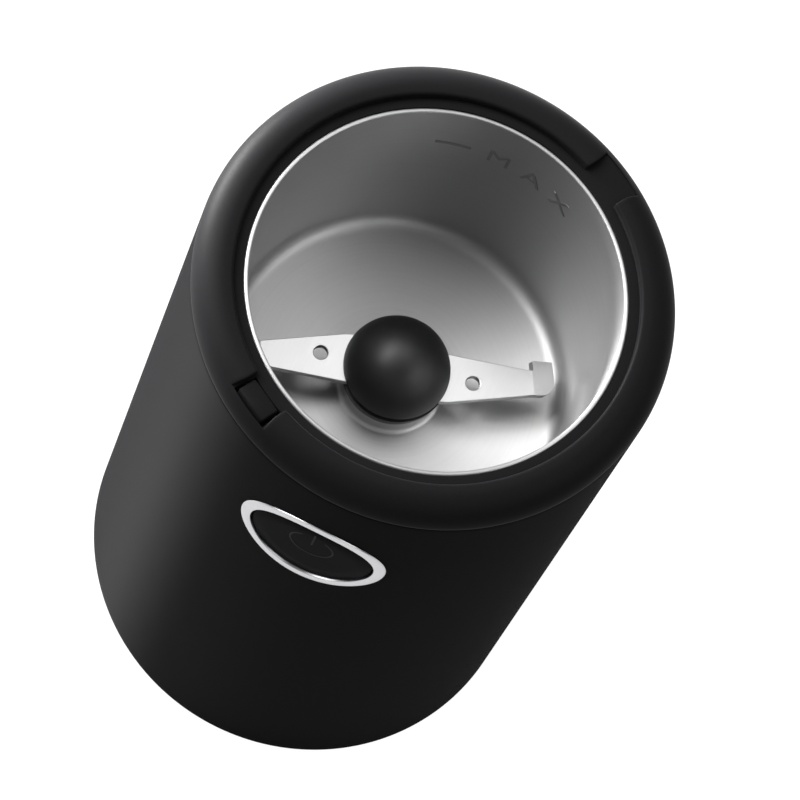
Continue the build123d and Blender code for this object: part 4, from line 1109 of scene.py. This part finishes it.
@dataclass
class PushButton:
    """The oval push button with its silver bezel, both wrapped round the body."""

    shell: BodyShell = field(default_factory=BodyShell)
    half: Pair = (14.1, 13.25)
    ring: float = 2.1
    tube: float = 0.6
    proud: float = 0.3
    seat: float = 0.05
    outer_round: tuple[Pair, ...] = ((0.0, 0.2), (0.05, 0.07), (0.2, 0.0))
    inner_round: tuple[Pair, ...] = ((0.22, 0.0), (0.07, 0.06), (0.0, 0.22))
    tube_depth: float = 2.2
    cap_gap: float = 0.3
    cap_round: tuple[Pair, ...] = ((0.3, 0.0), (0.09, 0.08), (0.0, 0.3))
    face_shares: tuple[float, ...] = (0.97, 0.9, 0.75, 0.6, 0.45)
    recess: float = 0.05
    flange: float = 1.5
    flange_depths: Pair = (2.6, 3.7)
    pocket_radius: float = 4.6
    pocket_depth: float = 1.45
    leg_low: Triple = (-4.0, -40.1, 90.8)
    leg_high: Triple = (4.0, -38.3, 114.05)
    leg_round: float = 0.3
    sign_radius: float = 4.15
    sign_width: float = 0.36
    sign_rise: float = 3.0
    sign_gap: float = 62.0
    sign_relief: float = 0.06
    sign_root: float = 0.03
    bar_length: float = 5.1875
    bar_rise: float = 2.988
    segments: int = 160

    def loop(
        self, shape: Shape, inset: float, depth: float, round_size: float = 0.0
    ) -> list[bmesh.types.BMEdge]:
        """Draw an oval on the body's surface.

        Args:
            shape: the shape that takes it.
            inset: distance inside the bezel's outer edge.
            depth: distance under the body's surface.
            round_size: radius of a plain circle instead of the oval.

        Returns:
            The oval's edges.
        """
        wide = round_size or self.half[0] - inset
        tall = round_size or self.half[1] - inset
        circle = bmesh.ops.create_circle(shape, segments=self.segments, radius=1.0)["verts"]
        for vert in circle:
            height = self.shell.button_height + vert.co.y * tall
            vert.co = self.shell.skin(vert.co.x * wide, height, depth)
        return list({edge for vert in circle for edge in vert.link_edges})

    def bridged(self, shape: Shape, loops: Sequence[list[bmesh.types.BMEdge]]) -> None:
        """Join ovals one after the other with walls."""
        for first, second in zip(loops, loops[1:]):
            bmesh.ops.bridge_loops(shape, edges=first + second)

    def bezel(self) -> Shape:
        """Make the bezel: a thin ring on the body with a tube through the wall.

        Returns:
            The bezel.
        """
        shape: Shape = bmesh.new()
        tube = self.ring - self.tube
        places = [(0.0, -self.seat)]
        places += [(inset, drop - self.proud) for inset, drop in self.outer_round]
        places += [(self.ring - inset, drop - self.proud) for inset, drop in self.inner_round]
        places += [(self.ring, self.tube_depth), (tube, self.tube_depth), (tube, -self.seat)]
        loops = [self.loop(shape, inset, depth) for inset, depth in places]
        self.bridged(shape, loops + loops[:1])
        return outward(shape)

    def cap(self) -> Shape:
        """Make the button: face, catch flange, spring pocket and the leg to its switch.

        Returns:
            The button.
        """
        shape: Shape = bmesh.new()
        edge = self.ring + self.cap_gap
        catch = edge - self.flange
        face, back = self.flange_depths
        places = [(self.half[1] * share, self.recess) for share in self.face_shares]
        places += [(edge + inset, self.recess + drop) for inset, drop in self.cap_round]
        places += [(edge, face), (catch, face), (catch, back)]
        loops = [self.loop(shape, inset, depth) for inset, depth in places]
        loops += [self.loop(shape, 0.0, depth, self.pocket_radius) for depth in (back, self.pocket_depth)]
        self.bridged(shape, loops)
        bmesh.ops.holes_fill(shape, edges=[edge for edge in shape.edges if edge.is_boundary], sides=0)
        return joined([outward(shape), block(self.leg_low, self.leg_high, self.leg_round)])

    def sign(self) -> Shape:
        """Make the power sign: an open ring and a bar, laid on the button's face.

        Returns:
            The sign.
        """
        ring: Shape = bmesh.new()
        half = self.sign_width / 2
        ends = [ring.verts.new((0.0, self.sign_radius + side, 0.0)) for side in (-half, half)]
        edge = ring.edges.new(ends)
        turned(ring, self.sign_gap / 2)
        bmesh.ops.spin(
            ring, geom=[*ends, edge], cent=(0.0, 0.0, 0.0), axis=UP,
            angle=math.radians(360.0 - self.sign_gap), steps=60,
        )
        bar: Shape = bmesh.new()
        bmesh.ops.create_grid(bar, x_segments=2, y_segments=6, size=0.5)
        moved(scaled(bar, (self.sign_width, self.bar_length, 1.0)), (0.0, self.bar_rise, 0.0))
        shape = thickened(outward(joined([ring, bar])), self.sign_relief)
        middle = self.shell.button_height + self.sign_rise
        for vert in shape.verts:
            across, rise, depth = vert.co
            vert.co = self.shell.skin(across, middle + rise, self.recess + self.sign_root - depth)
        return outward(shape)

    def build(self) -> None:
        """Place the bezel, the button and its sign."""
        Piece("silver_bezel", Body.HOUSING, "bright_chrome", ("button_bezel",)).place(self.bezel())
        Piece("push_button", Body.BUTTON, "gloss_black", ("power_button",)).place(self.cap())
        Piece("power_sign", Body.BUTTON, "gloss_black", finish=MARK_INK).place(self.sign())


@dataclass
class LidInterlock:
    """The sprung block in one notch, with its rod and foot."""

    angle: float = 240.0
    head_low: Triple = (36.8, -3.5, 148.5)
    head_high: Triple = (40.4, 3.5, 154.7)
    head_round: float = 0.45
    rod_circle: float = 38.35
    rod_radius: float = 1.2
    flange_radius: float = 2.1
    flange_height: float = 1.2
    foot_low: Triple = (34.9, -2.0, 92.5)
    foot_high: Triple = (39.55, 2.0, 94.5)
    edge_round: float = 0.2

    def build(self) -> None:
        """Make the block, the rod and the foot, and turn them into the notch."""
        head = block(self.head_low, self.head_high, self.head_round)
        foot = block(self.foot_low, self.foot_high, self.edge_round)
        low, high = self.foot_low[2], self.head_low[2]
        flange = high + self.flange_height
        drawn = Section(0.0, low).to(self.rod_radius, low).to(self.rod_radius, high)
        drawn.to(self.flange_radius, high, self.edge_round).to(self.flange_radius, flange, self.edge_round)
        rod = moved(drawn.to(0.0, flange).turn(steps=40), (self.rod_circle, 0.0, 0.0))
        shape = turned(joined([head, foot, rod]), self.angle)
        Piece("interlock_block", Body.INTERLOCK, "collar_black", ("interlock_plunger",)).place(shape)


@dataclass
class RubberParts:
    """The four feet under the base and the grommet for the cord at the back."""

    feet: Pegs = Pegs(
        radius=5.0, low=0.0, high=3.8, rounding=0.6, circle=30.0, angles=(45.0, 135.0, 225.0, 315.0), steps=64
    )
    gland_height: float = 20.0
    bore: float = 3.1
    sleeve: float = 5.4
    flange: float = 7.2
    inner_end: float = 35.97
    inner_rounds: Pair = (0.3, 0.5)
    outer_end: float = 43.17
    outer_rounds: Pair = (0.5, 0.7)
    flange_from: float = 38.64
    flange_to: float = 40.44
    flange_round: float = 0.2

    def grommet(self) -> Shape:
        """Turn the grommet and lay it through the back wall.

        Returns:
            The grommet.
        """
        drawn = Section(self.bore, self.inner_end, self.inner_rounds[0])
        drawn.to(self.sleeve, self.inner_end, self.inner_rounds[1]).to(self.sleeve, self.flange_from)
        drawn.to(self.flange, self.flange_from, self.flange_round)
        drawn.to(self.flange, self.flange_to, self.flange_round).to(self.sleeve, self.flange_to)
        drawn.to(self.sleeve, self.outer_end, self.outer_rounds[1])
        drawn.to(self.bore, self.outer_end, self.outer_rounds[0]).close()
        return moved(turned(drawn.turn(steps=72), -90.0, "X"), UP * self.gland_height)

    def build(self) -> None:
        """Place the feet and the grommet."""
        Piece("base_feet", Body.HOUSING, "rubber", ("rubber_feet",)).place(joined(self.feet.shapes()))
        Piece("cord_grommet", Body.HOUSING, "rubber", ("cord_gland",)).place(self.grommet())


@dataclass
class CoilSprings:
    """The springs that the joints push on, each a copy of its imported coil."""

    nodes: dict[str, bpy.types.Object]
    joints: Sequence[dict[str, Any]]
    play: float = 0.1

    def build(self) -> None:
        """Copy the coil of each spring that a joint pushes on."""
        for joint in self.joints:
            for spring in joint.get("deforming_nodes", ()):
                self.coil(spring, joint)

    def coil(self, spring: dict[str, Any], joint: dict[str, Any]) -> None:
        """Place a copy of one spring's coil in place of its node.

        Args:
            spring: the record's entry, with the node, the way it shortens and its fixed end.
            joint: the joint that pushes on it; not used.
        """
        node, side = spring["node"], spring["mode"][-1]
        shape: Shape = bmesh.new()
        shape.from_mesh(self.nodes[node].data)
        scaled(shape, (1 / MM, 1 / MM, 1 / MM))
        bmesh.ops.remove_doubles(shape, verts=shape.verts[:], dist=WELD)
        name = node.replace("spring", "coil")
        piece = Piece(name, Body.HOUSING, "spring_steel", (node,)).place(shape)
        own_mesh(piece)


@dataclass
class CarriedNodes:
    """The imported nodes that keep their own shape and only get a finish."""

    nodes: dict[str, bpy.types.Object]
    slots: dict[str, str]

    def dress(self) -> None:
        """Put the finish of its slot on each node that is still shown."""
        for name, node in self.nodes.items():
            if node.hide_render:
                continue
            finish = SLOT_FINISH[self.slots[name]]
            node.data.materials.clear()
            node.data.materials.append(finish.material())
            log.info("%s keeps its shape, %s", name, finish.name)


@dataclass(frozen=True)
class SoftBox:
    """A soft square lamp: its place and side in metres and its power in watts."""

    name: str
    place: Triple
    side: float
    power: float

    def hang(self, aim: Triple) -> None:
        """Hang the lamp, hidden from the camera, so that it faces a point.

        Args:
            aim: the point, in metres.
        """
        data = bpy.data.lights.new(self.name, "AREA")
        data.shape = "SQUARE"
        data.size = self.side
        data.energy = self.power
        lamp = linked(self.name, data)
        facing = (Vector(self.place) - Vector(aim)).to_track_quat("Z", "Y").to_matrix().to_4x4()
        lamp.matrix_world = Matrix.Translation(self.place) @ facing
        lamp.visible_camera = False


@dataclass
class Studio:
    """Floor, soft lamps, sky and the camera at the photograph's angle."""

    focal_px: float = 4660.0
    image_px: float = 800.0
    sensor_mm: float = 36.0
    camera_right: Triple = (0.88327, 0.43714, 0.16948)
    camera_up: Triple = (-0.46885, 0.82354, 0.31929)
    camera_back: Triple = (0.0, -0.36149, 0.93237)
    camera_place: Triple = (3.24, -312.13, 749.55)
    camera_reach: float = 100.0
    lip_height: float = 153.9
    turn: float = -1.85
    floor_radius: float = 6.0
    floor_colour: str = "#d2d2d2"
    floor_white: float = 0.9
    floor_glow: float = 1.1
    sky_colour: str = "#ffffff"
    sky_way: Triple = (-0.55, 0.6, 0.58)
    sky_start: float = -0.55
    sky_levels: Pair = (0.03, 0.36)
    lamp_aim: Triple = (0.0, 0.0, 0.1)
    lamps: tuple[SoftBox, ...] = (
        SoftBox("overhead_soft_box", (-0.06, 0.46, 1.35), 0.8, 4.0),
        SoftBox("left_soft_box", (-0.9, 0.2, 1.1), 1.0, 28.0),
        SoftBox("right_soft_box", (0.95, 0.0, 1.05), 0.8, 5.0),
        SoftBox("low_left_soft_box", (-0.36, 0.16, 0.15), 0.14, 12.0),
    )

    def camera(self) -> None:
        """Set the camera from the photograph's fitted view."""
        turn = Matrix.Rotation(math.radians(self.turn), 3, "Z")
        axes = Matrix((self.camera_right, self.camera_up, self.camera_back)).transposed()
        place = turn @ Vector(self.camera_place) + UP * self.lip_height
        data = bpy.data.cameras.new("photo_camera")
        data.sensor_width = self.sensor_mm
        data.lens = self.focal_px / self.image_px * self.sensor_mm
        data.clip_end = self.camera_reach
        camera = linked("photo_camera", data)
        camera.matrix_world = Matrix.Translation(place * MM) @ (turn @ axes).to_4x4()
        bpy.context.scene.camera = camera

    def paper(self) -> bpy.types.Material:
        """Make the floor's paper, white to the camera and clear from below.

        Returns:
            The material.
        """
        paint = bpy.data.materials.new("white_paper")
        paint.use_nodes = True
        tree = paint.node_tree
        tree.nodes.clear()
        path = add_node(tree, "ShaderNodeLightPath").outputs
        seen = path["Is Camera Ray"]
        for ray in ("Is Glossy Ray", "Is Transmission Ray"):
            either = {"operation": "MAXIMUM"}
            seen = add_node(tree, "ShaderNodeMath", either, {0: seen, 1: path[ray]}).outputs[0]
        part = {"operation": "MULTIPLY", 1: self.floor_white}
        share = add_node(tree, "ShaderNodeMath", part, {0: seen}).outputs[0]
        matt = add_node(tree, "ShaderNodeBsdfDiffuse", {"Color": linear(self.floor_colour)}).outputs[0]
        glow = {"Color": linear(self.sky_colour), "Strength": self.floor_glow}
        white = add_node(tree, "ShaderNodeEmission", glow).outputs[0]
        above = add_node(tree, "ShaderNodeMixShader", links={0: share, 1: matt, 2: white}).outputs[0]
        below = add_node(tree, "ShaderNodeNewGeometry").outputs["Backfacing"]
        clear = add_node(tree, "ShaderNodeBsdfTransparent").outputs[0]
        sided = add_node(tree, "ShaderNodeMixShader", links={0: below, 1: above, 2: clear}).outputs[0]
        add_node(tree, "ShaderNodeOutputMaterial", links={"Surface": sided})
        return paint

    def floor(self) -> None:
        """Lay a pale floor that keeps a faint shadow."""
        shape: Shape = bmesh.new()
        bmesh.ops.create_circle(shape, cap_ends=True, segments=96, radius=self.floor_radius)
        ground = linked("studio_floor", meshed("studio_floor", shape))
        ground.data.materials.append(self.paper())

    def sky(self) -> None:
        """Wrap the set in a soft sky, bright behind on the left and dim in front on the right."""
        world = bpy.data.worlds.new("studio_sky")
        world.use_nodes = True
        tree = world.node_tree
        tree.nodes.clear()
        way = add_node(tree, "ShaderNodeTexCoord").outputs["Generated"]
        facing = {"operation": "DOT_PRODUCT", 1: Vector(self.sky_way).normalized()}
        share = add_node(tree, "ShaderNodeVectorMath", facing, {0: way}).outputs["Value"]
        dim, bright = self.sky_levels
        fade = {
            "interpolation_type": "SMOOTHSTEP", "From Min": self.sky_start, "From Max": 1.0,
            "To Min": dim, "To Max": bright,
        }
        level = add_node(tree, "ShaderNodeMapRange", fade, {"Value": share}).outputs["Result"]
        white = {"Color": linear(self.sky_colour)}
        light = add_node(tree, "ShaderNodeBackground", white, {"Strength": level}).outputs[0]
        add_node(tree, "ShaderNodeOutputWorld", links={"Surface": light})
        bpy.context.scene.world = world

    def build(self) -> None:
        """Set up the floor, the light and the camera."""
        bpy.context.scene.view_settings.view_transform = "Standard"
        self.floor()
        self.sky()
        for lamp in self.lamps:
            lamp.hang(self.lamp_aim)
        self.camera()


def main() -> None:
    """Build every piece, dress the rest and set up the studio."""
    logging.basicConfig(level=logging.INFO, format="%(name)s: %(message)s")
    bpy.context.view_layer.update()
    shell = BodyShell()
    for assembly in (
        shell, Collar(), SteelBowl(), Blade(), PushButton(shell), LidInterlock(), RubberParts(),
        CoilSprings(frame["nodes"], frame["record"]["behaviour"]["joints"]),
    ):
        log.info("%s", type(assembly).__name__)
        assembly.build()
    slots = {part["node"]: part["material_slot"] for part in frame["record"]["subparts"]}
    CarriedNodes(frame["nodes"], slots).dress()
    Studio().build()


if __name__ == "__main__":
    main()
